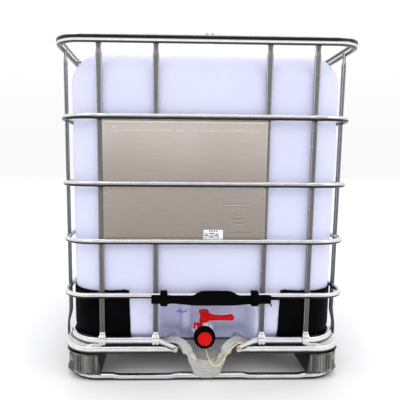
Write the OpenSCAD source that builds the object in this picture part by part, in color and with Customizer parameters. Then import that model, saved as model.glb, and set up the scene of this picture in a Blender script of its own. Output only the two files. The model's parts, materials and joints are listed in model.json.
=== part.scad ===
// Intermediate bulk container: a blow-moulded bottle in a tubular steel cage on a steel pallet.
// Millimetres, +Z up, +X to the right seen from the valve side, -Y towards the viewer at the valve.
// The origin is the middle of the footprint, on the floor.

/* [Overall size] */
// Width of the container, left to right
overall_w = 1000; // [990:2:1010]
// Length of the container, front to back
overall_l = 1200; // [1190:2:1210]
// Height of the container
overall_h = 1160; // [1150:2:1170]

/* [Cage] */
// Height of a ring tube
ring_h = 18; // [17:0.5:19]
// Outer corner radius of the rings
ring_r = 105; // [100:1:110]
// Height of the top rail
rail_h = 34; // [32:1:36]
// Depth of the top rail
rail_d = 22; // [21:0.5:23]
// Outer corner radius of the top rail
rail_r = 92; // [88:1:96]
// Width of an upright tube
upright_w = 18; // [16:0.5:20]
// Depth of an upright tube
upright_d = 13; // [12.5:0.1:13]
// Height of the lowest ring's centre
ring_z1 = 304; // [302:1:306]
// Height of the second ring's centre
ring_z2 = 490; // [486:1:492]
// Height of the third ring's centre
ring_z3 = 682; // [670:1:694]
// Height of the fourth ring's centre
ring_z4 = 900; // [898:1:904]

/* [Pallet] */
// Height of the runner tube
runner_h = 25; // [23:1:27]
// Height of the runner where forks cross it
runner_flat_h = 20; // [18:1:21]
// Height of the underside of the tray rim
rim_z = 98; // [96:1:99]
// Height of the tray rim
rim_h = 26; // [24:1:26]
// Height of the cage's base rail
base_rail_h = 28; // [26:1:28]

/* [Bottle] */
// Wall thickness of the bottle
bottle_wall = 2.5; // [2:0.5:3]
// Radius of the bottle's vertical edges and shoulders
bottle_r = 105; // [104:1:110]
// Height of the bottle's flat top
bottle_top_z = 1118; // [1114:1:1120]
// Outer radius of the filler neck
neck_r = 78; // [76:1:80]

/* [Valve] */
// Height of the outlet's axis
outlet_z = 151; // [150:0.5:152]
// Radius of the outlet's flow bore
flow_r = 25; // [24.5:0.5:25]
// Outer radius of the screw cap
cap_r = 37.5; // [37:0.5:38]
// Reach of the lever arm from the stem
lever_reach = 108; // [100:1:112]

/* [Hidden] */
$fn = 64;

half_w = overall_w / 2;
half_l = overall_l / 2;
// The rings stand a little inside the top rail; uprights touch the inner face of both.
ring_inset = 7;
ring_d = rail_d - ring_inset;
cage_in_x = half_w - rail_d;
cage_in_y = half_l - rail_d;
rail_z = overall_h - rail_h / 2;
ring_z = [ring_z1, ring_z2, ring_z3, ring_z4];

front_upright_x = [-353, -170, 198, 353];
rear_upright_x = [-353, -170, 170, 353];
side_upright_y = [-460, -155, 155, 460];
upright_top = overall_h - 14;

// Pallet outlines, half sizes in X and Y with their corner radii
runner_x = half_w - 14;
runner_y = half_l - 12;
runner_d = 24;
runner_r = 130;
rim_x = half_w - 10;
rim_y = half_l - 8;
rim_d = 16;
rim_r = 100;
rim_top = rim_z + rim_h;
base_x = cage_in_x + 2;
base_y = cage_in_y + 3;
base_d = 16;
base_r = 125;
base_top = rim_top + base_rail_h;
tray_t = 2;
foot_x = half_w - 13;
foot_y = half_l - 11;
foot_r = 112;
foot_t = 3;
foot_w = 120;
foot_l = 150;
mid_foot = 180;
mid_foot_w = 60;
mid_foot_r = 14;
// Flats in the runner where forks cross it: left edge and width at the ends, middle and length at the sides
flats_x = [[-308, 197], [146, 197]];
flat_y = 265;
flat_l = 220;
flat_cut = 80;
// Grooves down a corner foot's face, and the slot in its flank
groove_in = [54, 84];
groove_w = 10;
groove_depth = 4;
slot_back = 95;
slot_z = 60;
slot_r = 6;
slot_half = 7;
bolt_r = 6;
bolt_h = 5;
chin_bolt_z = 27;
rail_bolt_x = [-102, 118];
rail_bolt_z = 112;
rail_bolt_r = 7;
rail_bolt_h = 6;
bolt_seat_y = -half_l + 8;

// The front of the pallet opens around the outlet, and its two rails dip towards the opening
// on arcs about one centre.
gap_x = 8;
gap_half = 168;
dip_angle = 12;
rim_dip_r = 300;
base_dip_r = rim_dip_r + (rim_h + base_rail_h) / 2;
apron_nu = 28;
apron_nv = 30;
apron_t = 2;

// Feet of the side uprights, and the claws under the others
flare_z = 215;
flare_w = 4;
claw_drop = 19;
claw_tooth_r = 5;
claw_half = 9;
claw_t = 4;
crossbar_y = 300;
crossbar_z = bottle_top_z + 1;
crossbar_w = 26;
crossbar_h = 20;
tab_l = 28;
tab_w = 34;
tab_t = 5;

// Bottle
bottle_x = cage_in_x - upright_d - 3;
bottle_y = cage_in_y - upright_d - 3;
bottle_z = rim_z + tray_t;
protector_t = 2.4;
niche_y = half_l - 130;
niche_half = 176;
column_x = -60;
column_r = 20;
neck_top = bottle_top_z + 25;
neck_wall = 5;
bottle_foot = 40;
niche_shelf = 24;
niche_top = 290;
niche_corner_x = 120;
niche_corner_r = 40;
niche_corner_top = 262;
arch_r = 98;
arch_z = 288;
column_back = 6;
column_top = 255;
spout_r = 30;
gasket_t = 3;
gasket_w = 8;
lid_r = 92;
lid_skirt = 25;
lid_h = 30;
lid_play = 0.6;
grip_r = 4;
grip_h = 24;
protector_reach = 244;
protector_z0 = base_top + 1;
protector_z1 = 318;
protector_gap = 0.2;

// Outlet valve, along Y
neck_front = half_l - 100;
stem_y = half_l - 70;
nut_r = 37;
nut_front = 12;
nut_rib_r = 3;
collar_r = 33;
collar_t = 6;
stem_r = 5;
stem_boss_r = 15;
stem_down = 22;
disc_half = 2.5;
disc_boss_r = 8;
valve_front = half_l - 17;
cap_front = half_l - 10;
cap_back = half_l - 40;
lever_z = outlet_z + 41;
lever_h = 26;
hub_h = 40;
lever_t = 6;
catch_pivot = [-12, outlet_z + 38.5];
catch_pin_r = 2.5;
catch_t = 6;
cap_bore_r = 30.4;
cap_window_r = 24.7;
cable_r = 2.5;
terminal_x = 141;
terminal_z = 131.5;
terminal_y = -half_l + 14.5;

// Guard bar over the lowest ring
guard_x0 = -184;
guard_x1 = 222;
guard_z0 = 277;
guard_z1 = 309;

// Label plate
plate_x0 = -344;
plate_x1 = 197;
plate_z0 = 494;
plate_z1 = 893;
plate_t = 1;

steel = [0.72, 0.73, 0.75];
sheet = [0.62, 0.62, 0.6];
plastic_black = [0.05, 0.05, 0.06];
plastic_red = [0.75, 0.03, 0.05];
hdpe = [0.9, 0.91, 0.97];

// ---------- shared shapes ----------

// Rectangle with round corners, centred
module round_rect(w, h, r) {
    square([w - 2 * r, h], center = true);
    square([w, h - 2 * r], center = true);
    for (x = [-1, 1], y = [-1, 1])
        translate([x * (w / 2 - r), y * (h / 2 - r)]) circle(r);
}

// Outline with half sizes hx and hy
module plan(hx, hy, r) {
    round_rect(2 * hx, 2 * hy, r);
}

// A closed loop of tube: the 2D child is its section, x outwards and y up,
// with x = 0 on the loop's outer face.
module loop_tube(hx, hy, r) {
    for (i = [0 : 3]) rotate([0, 0, 90 * i]) {
        ax = i % 2 == 0 ? hx : hy;
        ay = i % 2 == 0 ? hy : hx;
        translate([ax, ay - r, 0]) rotate([90, 0, 0]) linear_extrude(2 * (ay - r)) children();
        translate([ax - r, ay - r, 0]) rotate_extrude(angle = 90) translate([r, 0]) children();
    }
}

// Section of a tube whose outer face is at x = 0
module tube_section(d, h, r) {
    translate([-d / 2, 0]) round_rect(d, h, r);
}

// Mirrored copies in X and Y, one of the four corners
module corner(sx, sy) {
    mirror([sx > 0 ? 0 : 1, 0, 0]) mirror([0, sy > 0 ? 0 : 1, 0]) children();
}

module pillar(x, y, z0, z1, w, d, r) {
    translate([x, y, z0]) linear_extrude(z1 - z0) round_rect(w, d, r);
}

// A cylinder along Y from y0 back to y1
module y_cylinder(r, y0, y1, x = 0, z = 0) {
    translate([x, y1, z]) rotate([90, 0, 0]) cylinder(r = r, h = y1 - y0);
}

// A small hexagonal or domed screw, its axis along -Y, seated at y
module front_screw(x, y, z, r, h) {
    translate([x, y, z]) rotate([90, 0, 0]) {
        cylinder(r = r, h = h * 0.4);
        cylinder(r = r * 0.75, h = h);
    }
}

// ---------- pallet ----------

module pallet_runner() color(steel) difference() {
    translate([0, 0, runner_h / 2]) loop_tube(runner_x, runner_y, runner_r)
        tube_section(runner_d, runner_h, 7);
    for (sy = [-1, 1], flat = flats_x)
        translate([flat[0], sy * runner_y - flat_cut / 2, runner_flat_h]) cube([flat[1], flat_cut, runner_h]);
    for (sx = [-1, 1], sy = [-1, 1])
        translate([sx * runner_x - flat_cut / 2, sy * flat_y - flat_l / 2, runner_flat_h])
            cube([flat_cut, flat_l, runner_h]);
}

module pallet_tray() color(sheet) {
    difference() {
        translate([0, 0, rim_z]) linear_extrude(tray_t) plan(rim_x - rim_d, rim_y - rim_d, rim_r - rim_d);
        translate([gap_x - gap_half, -half_l, 0]) cube([2 * gap_half, half_l - niche_y, half_l]);
    }
    difference() {
        translate([0, 0, rim_z + tray_t]) linear_extrude(rim_h - tray_t)
            plan(rim_x - rim_d, rim_y - rim_d, rim_r - rim_d);
        translate([0, 0, rim_z]) linear_extrude(rim_h * 2) plan(bottle_x + 2, bottle_y + 3, bottle_r + 2);
        translate([gap_x - gap_half, -half_l, 0]) cube([2 * gap_half, 100, half_l]);
    }
}

// A rail that runs round the pallet, opens at the front and dips at its two ends.
// The child is its section about its own middle, y up and x = 0 on the outer face.
module open_loop(hx, hy, r, z, dip_r) {
    for (s = [-1, 1]) {
        translate([s * (hx - r), hy, z]) mirror([s > 0 ? 0 : 1, 0, 0]) {
            translate([0, -r, 0]) rotate_extrude(angle = 90) translate([r, 0]) children();
            translate([0, -2 * hy + r, 0]) rotate([0, 0, -90]) rotate_extrude(angle = 90)
                translate([r, 0]) children();
            translate([r, -r, 0]) rotate([90, 0, 0]) linear_extrude(2 * (hy - r)) children();
        }
        run = hx - r - gap_half + s * -gap_x;
        translate([gap_x + s * gap_half, -hy, z]) mirror([s > 0 ? 1 : 0, 0, 0]) {
            rotate([90, 0, -90]) linear_extrude(run) children();
            translate([0, 0, -dip_r]) multmatrix([[0, 1, 0, 0], [0, 0, 1, 0], [1, 0, 0, 0]])
                rotate_extrude(angle = dip_angle) translate([dip_r, 0]) rotate(-90) children();
        }
    }
    translate([r - hx, hy, z]) rotate([90, 0, 90]) linear_extrude(2 * (hx - r)) children();
}

module tray_rim() color(steel)
    open_loop(rim_x, rim_y, rim_r, rim_z + rim_h / 2, rim_dip_r) tube_section(rim_d, rim_h, 6);

module cage_base_rail() color(steel)
    open_loop(base_x, base_y, base_r, rim_top + base_rail_h / 2, base_dip_r)
        tube_section(base_d, base_rail_h, 7);

// Plan of a pressed foot: the pallet's own corner, cut off square, with shallow grooves
module foot_plan(inset) {
    difference() {
        intersection() {
            plan(foot_x - inset, foot_y - inset, foot_r - inset);
            translate([foot_x - foot_w + inset, foot_y - foot_l + inset]) square(foot_l * 2);
        }
        for (g = groove_in)
            translate([foot_x - g, foot_y]) square([groove_w, 2 * (groove_depth + inset)], center = true);
    }
}

module corner_foot(sx, sy) color(sheet) corner(sx, sy) difference() {
    translate([0, 0, runner_h]) linear_extrude(rim_z - runner_h) foot_plan(0);
    translate([0, 0, runner_h - 1]) linear_extrude(rim_z - runner_h - foot_t + 1) foot_plan(foot_t);
    translate([foot_x - 20, foot_y - slot_back, slot_z]) rotate([0, 90, 0]) hull()
        for (d = [-slot_half, slot_half]) translate([d, 0, 0]) cylinder(r = slot_r, h = 40);
}

module middle_foot(w, l) color(sheet) difference() {
    translate([0, 0, runner_h]) linear_extrude(rim_z - runner_h) round_rect(w, l, mid_foot_r);
    translate([0, 0, runner_h - 1]) linear_extrude(rim_z - runner_h - foot_t + 1)
        round_rect(w - 2 * foot_t, l - 2 * foot_t, mid_foot_r - foot_t);
}

// Bolts through the runner under each foot, at the chin of the apron and at the rail ends
module pallet_bolts() color(steel) {
    for (sx = [-1, 1], sy = [-1, 1], p = [[foot_x - 16, foot_y - 135], [foot_x - 105, foot_y - 14]])
        translate([sx * p[0], sy * p[1], runner_h]) cylinder(r = bolt_r, h = bolt_h);
    front_screw(gap_x, bolt_seat_y, chin_bolt_z, bolt_r, bolt_h);
    for (x = rail_bolt_x) front_screw(x, bolt_seat_y, rail_bolt_z, rail_bolt_r, rail_bolt_h);
}

// The pressed apron: a sheet that runs from the tray, down a dish under the outlet and on to a
// chin on the runner. u runs across from -1 to 1 and v from the back to the chin.
function mix(a, b, t) = a + (b - a) * t;
function smooth(t) = let (c = min(1, max(0, t))) c * c * (3 - 2 * c);
// Piecewise smooth run through a list of [v, value] pairs
function along(list, v, i = 0) =
    i >= len(list) - 2 || v <= list[i + 1][0]
        ? mix(list[i][1], list[i + 1][1], smooth((v - list[i][0]) / (list[i + 1][0] - list[i][0])))
        : along(list, v, i + 1);
apron_back = -niche_y - 2;
apron_chin = -half_l + 8.5;
dish_y = [[0, apron_back], [0.4, -half_l + 45], [0.7, apron_chin + 2], [1, apron_chin]];
dish_z = [[0, 96], [0.4, 86], [0.7, 46], [1, 14]];
side_y = [[0, apron_back], [0.3, -half_l + 44], [0.5, -half_l + 39], [0.66, apron_chin + 2], [1, apron_chin]];
side_z = [[0, 142], [0.3, 138], [0.5, 118], [0.66, 90], [1, 14]];
half_width = [[0, gap_half - 42], [0.3, gap_half - 8], [0.5, 84], [0.66, 76], [1, 38]];
// The flanks stay low beside the bottle's column, and rise only in front of it
column_clear = 92;
column_blend = 22;
function flank(x, u, v) =
    smooth((abs(u) - 0.5) / 0.3) * smooth((abs(x) - column_clear * (1 - smooth((v - 0.25) / 0.2))) / column_blend);
function apron_point(u, v, drop) =
    let (x = u * along(half_width, v), s = flank(x, u, v))
    [gap_x + x,
        mix(along(dish_y, v), along(side_y, v), s) + drop * 0.5,
        mix(along(dish_z, v), along(side_z, v), s) - drop];
function at(i, j, k) = (k * (apron_nv + 1) + j) * (apron_nu + 1) + i;
module drain_apron() color(sheet) {
    points = [for (d = [0, apron_t], j = [0 : apron_nv], i = [0 : apron_nu])
        apron_point(2 * i / apron_nu - 1, j / apron_nv, d)];
    faces = concat(
        [for (j = [0 : apron_nv - 1], i = [0 : apron_nu - 1]) each
            [[at(i, j, 0), at(i + 1, j, 0), at(i + 1, j + 1, 0)], [at(i, j, 0), at(i + 1, j + 1, 0), at(i, j + 1, 0)],
             [at(i, j, 1), at(i + 1, j + 1, 1), at(i + 1, j, 1)], [at(i, j, 1), at(i, j + 1, 1), at(i + 1, j + 1, 1)]]],
        [for (i = [0 : apron_nu - 1]) each
            [[at(i, 0, 0), at(i, 0, 1), at(i + 1, 0, 1)], [at(i, 0, 0), at(i + 1, 0, 1), at(i + 1, 0, 0)],
             [at(i, apron_nv, 0), at(i + 1, apron_nv, 0), at(i + 1, apron_nv, 1)],
             [at(i, apron_nv, 0), at(i + 1, apron_nv, 1), at(i, apron_nv, 1)]]],
        [for (j = [0 : apron_nv - 1]) each
            [[at(0, j, 0), at(0, j + 1, 0), at(0, j + 1, 1)], [at(0, j, 0), at(0, j + 1, 1), at(0, j, 1)],
             [at(apron_nu, j, 0), at(apron_nu, j + 1, 1), at(apron_nu, j + 1, 0)],
             [at(apron_nu, j, 0), at(apron_nu, j, 1), at(apron_nu, j + 1, 1)]]]);
    polyhedron(points, faces);
}

// ---------- cage ----------

module top_rail() color(steel)
    translate([0, 0, rail_z]) loop_tube(half_w, half_l, rail_r) tube_section(rail_d, rail_h, 9);

module cage_ring(i) color(steel)
    translate([0, 0, ring_z[i]]) loop_tube(half_w - ring_inset, half_l - ring_inset, ring_r)
        tube_section(ring_d, ring_h, 6);

// Front and rear uprights stand on the base rail
module end_upright(x, sy) color(steel)
    translate([x, sy * (cage_in_y - upright_d / 2), base_top]) linear_extrude(upright_top - base_top)
        round_rect(upright_w, upright_d, 4);

// The label plate lies on a flat in each front upright that it crosses
module front_upright(i) color(steel) difference() {
    end_upright(front_upright_x[i], -1);
    if (i < 3) translate([plate_x0 - 1, -cage_in_y - 1, plate_z0 - 1])
        cube([plate_x1 - plate_x0 + 2, 1 + plate_t, plate_z1 - plate_z0 + 2]);
}

// Side uprights flare outwards at the foot, over the base rail and on to the tray rim
module side_upright(sx, y) color(steel) {
    x = cage_in_x - upright_d / 2;
    translate([sx * x, y, flare_z]) linear_extrude(upright_top - flare_z) round_rect(upright_d, upright_w, 4);
    hull() {
        translate([sx * x, y, flare_z]) linear_extrude(0.1) round_rect(upright_d, upright_w, 4);
        translate([sx * (base_x + 6), y, base_top]) linear_extrude(0.1) round_rect(10, upright_w + flare_w, 3);
    }
    translate([sx * (base_x + 5.2), y, rim_top]) linear_extrude(base_rail_h) round_rect(9.6, upright_w + flare_w, 3);
}

// Small forked plates that grip the base rail under each end upright
module claw(x, sy) {
    translate([x, sy * (base_y + 2), base_top - claw_drop]) rotate([90, 0, 0])
        translate([0, 0, -claw_t / 2]) linear_extrude(claw_t) {
            for (d = [-6, 6]) translate([d, 0]) circle(claw_tooth_r);
            translate([-claw_half, 0]) square([2 * claw_half, claw_drop + 3]);
        }
}
module upright_claws() color(steel) {
    for (x = front_upright_x) claw(x, -1);
    for (x = rear_upright_x) claw(x, 1);
}

module crossbar(sy) color(steel) {
    translate([-cage_in_x + 20, sy * crossbar_y, crossbar_z + crossbar_h / 2]) rotate([90, 0, 90])
        linear_extrude(2 * cage_in_x - 40) round_rect(crossbar_w, crossbar_h, 7);
    for (sx = [-1, 1]) translate([sx * (cage_in_x - tab_l / 2), sy * crossbar_y, crossbar_z + crossbar_h / 2])
        cube([tab_l, tab_w, tab_t], center = true);
}

// Two screws on the seam of the top rail and one at each end of the crossbars
module cage_screws() color(steel) {
    for (x = [-9, 9]) translate([x, -half_l + rail_d + 3, rail_z + 4]) rotate([90, 0, 0]) cylinder(r = 5, h = 3);
    for (sx = [-1, 1], sy = [-1, 1])
        translate([sx * (cage_in_x - 10), sy * crossbar_y, crossbar_z + (crossbar_h + tab_t) / 2]) cylinder(r = bolt_r, h = bolt_h);
}

module label_plate() color([0.75, 0.7, 0.66]) {
    translate([plate_x0, -cage_in_y, plate_z0]) cube([plate_x1 - plate_x0, plate_t, plate_z1 - plate_z0]);
    for (x = [plate_x0 + 15, plate_x1 - 20])
        y_cylinder(7, -cage_in_y - 4, -cage_in_y, x, (plate_z0 + plate_z1) / 2 - 32);
}

module content_sticker() color("white")
    translate([-13, -cage_in_y - 0.5, 497]) cube([72, 0.5, 37]);

// ---------- bottle ----------

module bottle_block(g) {
    hx = bottle_x - g;
    hy = bottle_y - g;
    r = bottle_r - g;
    foot = bottle_foot - g;
    hull() for (sx = [-1, 1], sy = [-1, 1]) translate([sx * (hx - r), sy * (hy - r), 0]) {
        translate([0, 0, bottle_top_z - bottle_r]) sphere(r, $fn = 48);
        translate([0, 0, bottle_z + bottle_foot]) cylinder(r = r, h = 1, $fn = 48);
        for (a = [0 : 15 : 90])
            translate([0, 0, bottle_z + bottle_foot - foot * sin(a)])
                cylinder(r = r - foot + foot * cos(a), h = 0.01, $fn = 48);
    }
}

// The recess for the valve, arched above and rounded at the back
module niche(g) hull() {
    translate([gap_x - niche_half - g, -half_l, 0])
        cube([2 * (niche_half + g), half_l - bottle_y + niche_shelf + g, niche_top + g]);
    for (s = [-1, 1]) translate([gap_x + s * niche_corner_x, -niche_y - niche_corner_r, 0])
        cylinder(r = niche_corner_r + g, h = niche_corner_top + g, $fn = 32);
    translate([gap_x, -bottle_y + 3 + g, arch_z]) rotate([90, 0, 0]) cylinder(r = arch_r + g, h = 40, $fn = 48);
}

module bottle() color(hdpe) difference() {
    union() {
        difference() {
            bottle_block(0);
            difference() {
                niche(0);
                translate([column_x, -niche_y - column_back, 0]) cylinder(r = column_r, h = column_top);
            }
        }
        translate([0, 0, bottle_top_z - 2]) cylinder(r = neck_r, h = neck_top - bottle_top_z + 2);
        y_cylinder(spout_r, -neck_front, -niche_y + 1, 0, outlet_z);
    }
    difference() {
        bottle_block(bottle_wall);
        difference() {
            niche(bottle_wall);
            translate([column_x, -niche_y - column_back, 0])
                cylinder(r = column_r - bottle_wall, h = column_top - 2 * bottle_wall);
        }
    }
    translate([0, 0, bottle_top_z - 10]) cylinder(r = neck_r - neck_wall, h = 60);
    y_cylinder(flow_r, -neck_front - 5, -niche_y + 8, 0, outlet_z);
}

module lid_gasket() color(plastic_black) translate([0, 0, neck_top]) difference() {
    cylinder(r = neck_r, h = gasket_t);
    translate([0, 0, -1]) cylinder(r = neck_r - gasket_w, h = gasket_t + 2);
}

module filler_lid() color(plastic_red) translate([0, 0, neck_top + gasket_t]) {
    difference() {
        translate([0, 0, -lid_skirt]) cylinder(r = lid_r, h = lid_h);
        translate([0, 0, -lid_skirt - 1]) cylinder(r = neck_r + lid_play, h = lid_skirt + 1);
    }
    for (a = [0 : 30 : 330]) rotate([0, 0, a])
        translate([lid_r - 1, 0, 2 - grip_h]) cylinder(r = grip_r, h = grip_h, $fn = 24);
    for (a = [0 : 90 : 270]) rotate([0, 0, a]) translate([30, -4, 5]) cube([50, 8, 4]);
}

// ---------- corner protectors ----------

module corner_protector(sx, sy) color(plastic_black) corner(sx, sy) difference() {
    translate([0, 0, protector_z0]) linear_extrude(protector_z1 - protector_z0) intersection() {
        plan(bottle_x + protector_gap + protector_t, bottle_y + protector_gap + protector_t,
            bottle_r + protector_gap + protector_t);
        translate([half_w - protector_reach, half_l - protector_reach - 20]) square(half_l);
    }
    translate([0, 0, protector_z0 - 1]) linear_extrude(protector_z1)
        plan(bottle_x + protector_gap, bottle_y + protector_gap, bottle_r + protector_gap);
}

// ---------- guard bar ----------

module guard_bar() color(plastic_black) {
    difference() {
        union() {
            translate([guard_x0, -half_l + rail_d / 2, (guard_z0 + guard_z1) / 2]) rotate([90, 0, 90])
                linear_extrude(guard_x1 - guard_x0) round_rect(rail_d, guard_z1 - guard_z0, 6);
            translate([34, -half_l + 8, 0]) rotate([90, 0, 0]) linear_extrude(8) hull() {
                translate([0, guard_z1 - 20]) square([170, 20], center = true);
                translate([6, 312]) square([78, 20], center = true);
            }
            translate([guard_x1 - 2, -half_l + 9, 294]) rotate([90, 0, 90]) linear_extrude(34)
                round_rect(18, 9, 4);
        }
        translate([-half_w, -half_l + ring_inset - 0.1, ring_z1 - ring_h / 2 - 0.1]) cube([overall_w, 40, 60]);
    }
}

// Clamps that hold the bar to the ring
module guard_clamps() color(plastic_black) for (x = [-142, 167]) difference() {
    translate([x - 13, -half_l + 0.5, guard_z0 - 3]) cube([26, 27, 46]);
    translate([x - 14, -half_l + ring_inset, ring_z1 - ring_h / 2]) cube([28, ring_d, ring_h]);
    translate([x - 14, -half_l - 1, guard_z0 - 0.01]) cube([28, 27.01, guard_z1 - guard_z0 + 0.02]);
}

// ---------- outlet valve ----------

// The nut draws the valve's collar against the end of the bottle's spout
module union_nut() color(hdpe) difference() {
    union() {
        y_cylinder(nut_r, -neck_front - nut_front, -niche_y - 6, 0, outlet_z);
        for (a = [22 : 45 : 337]) translate([0, 0, outlet_z]) rotate([0, a, 0])
            translate([nut_r - 1, 0, 0]) y_cylinder(nut_rib_r, -neck_front - nut_front, -niche_y - 6);
    }
    y_cylinder(collar_r + 0.2, -neck_front - collar_t - 0.2, -neck_front + 6, 0, outlet_z);
    y_cylinder(spout_r + 0.2, -neck_front, 0, 0, outlet_z);
    y_cylinder(spout_r + 1.2, -half_l, -neck_front, 0, outlet_z);
}

module valve_body() color(hdpe) {
    difference() {
        union() {
            y_cylinder(spout_r, -valve_front, -neck_front, 0, outlet_z);
            y_cylinder(spout_r + 1, -half_l + 50, -neck_front, 0, outlet_z);
            y_cylinder(collar_r, -neck_front - collar_t, -neck_front, 0, outlet_z);
            translate([0, -stem_y, outlet_z]) cylinder(r = stem_boss_r, h = lever_z - 1 - outlet_z);
        }
        y_cylinder(flow_r, -half_l, 0, 0, outlet_z);
        translate([0, -stem_y, outlet_z]) cylinder(r = stem_r + 0.06, h = 80);
    }
    y_cylinder(catch_pin_r, -half_l + 43, -half_l + 64, catch_pivot[0], catch_pivot[1]);
}

module valve_disc() color(steel) difference() {
    union() {
        y_cylinder(flow_r - 0.3, -stem_y - disc_half, -stem_y + disc_half, 0, outlet_z);
        translate([0, -stem_y, outlet_z - stem_down]) cylinder(r = disc_boss_r, h = 2 * stem_down);
    }
    translate([0, -stem_y, outlet_z - stem_down - 8]) cylinder(r = stem_r, h = 2 * stem_down + 16);
}

module valve_stem() color(plastic_black)
    translate([0, -stem_y, outlet_z - stem_down])
        cylinder(r = stem_r, h = stem_down + lever_z - outlet_z + hub_h - 6);

module valve_lever() color(plastic_red) translate([0, -stem_y, lever_z]) difference() {
    union() {
        cylinder(r = 16.5, h = hub_h - 1);
        translate([0, lever_t / 2, 0]) rotate([90, 0, 0]) linear_extrude(lever_t) {
            difference() {
                square([lever_reach - 8, lever_h]);
                translate([50, lever_h + 118]) circle(120);
            }
            translate([lever_reach - 12, lever_h / 2]) circle(lever_h / 2);
            polygon([[0, hub_h - 4], [16, hub_h - 6], [40, lever_h - 1], [40, 4], [0, 4]]);
        }
    }
    translate([0, 0, -1]) cylinder(r = stem_r, h = hub_h - 5);
}

module lever_catch() color(plastic_red)
    translate([0, -half_l + 49, 0]) rotate([90, 0, 0]) linear_extrude(catch_t) difference() {
        translate(catch_pivot) {
            circle(6);
            translate([-24, -1]) square([24, 6]);
            translate([-24, -11]) square([5, 14]);
            translate([-14, -8]) square([8, 10]);
        }
        translate(catch_pivot) circle(catch_pin_r + 0.06);
    }

module cap_gasket() color(plastic_black) difference() {
    y_cylinder(29.8, -valve_front - 2, -valve_front, 0, outlet_z);
    y_cylinder(24, -half_l, -valve_front + 1, 0, outlet_z);
}

module outlet_cap() color(plastic_black) difference() {
    union() {
        y_cylinder(cap_r - 1.5, -cap_front, -cap_back, 0, outlet_z);
        for (a = [0 : 15 : 345]) translate([0, 0, outlet_z]) rotate([0, a, 0])
            translate([cap_r - 2, 0, 0]) y_cylinder(2, -cap_front + 2, -cap_back);
    }
    y_cylinder(cap_bore_r, -valve_front - 2, 0, 0, outlet_z);
    y_cylinder(cap_window_r, -half_l, -cap_front + 2.5, 0, outlet_z);
}

module cap_seal_disc() color(plastic_red)
    y_cylinder(cap_window_r - 0.2, -cap_front + 0.5, -cap_front + 2.5, 0, outlet_z);

// ---------- earth cable ----------

// Route from the valve body, under the cap, over the dish and up to the right-hand rail end
cable_route = [[4, -556, 117], [4, -556, 110], [6, -561, 102], [9, -570, 94], [12, -580, 85],
    [17, -589, 76], [22, -594, 68], [29, -596, 61], [37, -597, 58], [46, -597, 60], [55, -597, 68],
    [63, -597, 79], [71, -597, 92], [80, -597, 106], [90, -597, 119], [101, -597, 130],
    [112, -597, 138], [122, -596, 140], [130, -593, 138], [134, -589, 134], [135, -586, 129]];
function unit(v) = v / norm(v);
function tangent(p, i) = unit(p[min(i + 1, len(p) - 1)] - p[max(i - 1, 0)]);
module swept_tube(p, r, sides) {
    n = len(p);
    points = [for (i = [0 : n - 1]) let (t = tangent(p, i), a = unit(cross(t, [0, 1, 0.02])), b = cross(t, a))
        each [for (k = [0 : sides - 1]) p[i] + r * (cos(360 * k / sides) * a + sin(360 * k / sides) * b)]];
    faces = concat(
        [[for (k = [0 : sides - 1]) sides - 1 - k]],
        [[for (k = [0 : sides - 1]) (n - 1) * sides + k]],
        [for (i = [0 : n - 2], k = [0 : sides - 1]) let (q = (k + 1) % sides)
            [i * sides + k, i * sides + q, (i + 1) * sides + q, (i + 1) * sides + k]]);
    polyhedron(points, faces);
}
module earth_cable() color([0.85, 0.8, 0.3]) swept_tube(cable_route, cable_r, 8);

// Eyelet and screw at each end of the cable
module cable_terminals() color(steel) {
    translate(cable_route[0]) cylinder(r = 3.5, h = outlet_z - spout_r - cable_route[0][2] - 0.1);
    y_cylinder(7, terminal_y, -base_y, terminal_x, terminal_z);
    y_cylinder(4, terminal_y - 3.5, terminal_y, terminal_x, terminal_z);
}

pallet_runner();
pallet_tray();
tray_rim();
drain_apron();
corner_foot(-1, -1);  // corner_foot_front_left
corner_foot(1, -1);  // corner_foot_front_right
corner_foot(-1, 1);  // corner_foot_rear_left
corner_foot(1, 1);  // corner_foot_rear_right
translate([mid_foot_w / 2 - foot_x, 0, 0]) middle_foot(mid_foot_w, mid_foot);  // middle_foot_left
translate([foot_x - mid_foot_w / 2, 0, 0]) middle_foot(mid_foot_w, mid_foot);  // middle_foot_right
translate([0, foot_y - mid_foot_w / 2, 0]) middle_foot(mid_foot, mid_foot_w);  // middle_foot_rear
pallet_bolts();
cage_base_rail();
top_rail();
cage_ring(0);  // cage_ring_1
cage_ring(1);  // cage_ring_2
cage_ring(2);  // cage_ring_3
cage_ring(3);  // cage_ring_4
front_upright(0);  // front_upright_1
front_upright(1);  // front_upright_2
front_upright(2);  // front_upright_3
front_upright(3);  // front_upright_4
end_upright(rear_upright_x[0], 1);  // rear_upright_1
end_upright(rear_upright_x[1], 1);  // rear_upright_2
end_upright(rear_upright_x[2], 1);  // rear_upright_3
end_upright(rear_upright_x[3], 1);  // rear_upright_4
side_upright(-1, side_upright_y[0]);  // left_upright_1
side_upright(-1, side_upright_y[1]);  // left_upright_2
side_upright(-1, side_upright_y[2]);  // left_upright_3
side_upright(-1, side_upright_y[3]);  // left_upright_4
side_upright(1, side_upright_y[0]);  // right_upright_1
side_upright(1, side_upright_y[1]);  // right_upright_2
side_upright(1, side_upright_y[2]);  // right_upright_3
side_upright(1, side_upright_y[3]);  // right_upright_4
upright_claws();
crossbar(-1);  // crossbar_front
crossbar(1);  // crossbar_rear
cage_screws();
label_plate();
content_sticker();
bottle();
lid_gasket();
filler_lid();
corner_protector(-1, -1);  // corner_protector_front_left
corner_protector(1, -1);  // corner_protector_front_right
corner_protector(-1, 1);  // corner_protector_rear_left
corner_protector(1, 1);  // corner_protector_rear_right
guard_bar();
guard_clamps();
union_nut();
valve_body();
valve_disc();
valve_stem();
valve_lever();
lever_catch();
cap_gasket();
outlet_cap();
cap_seal_disc();
earth_cable();
cable_terminals();
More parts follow.
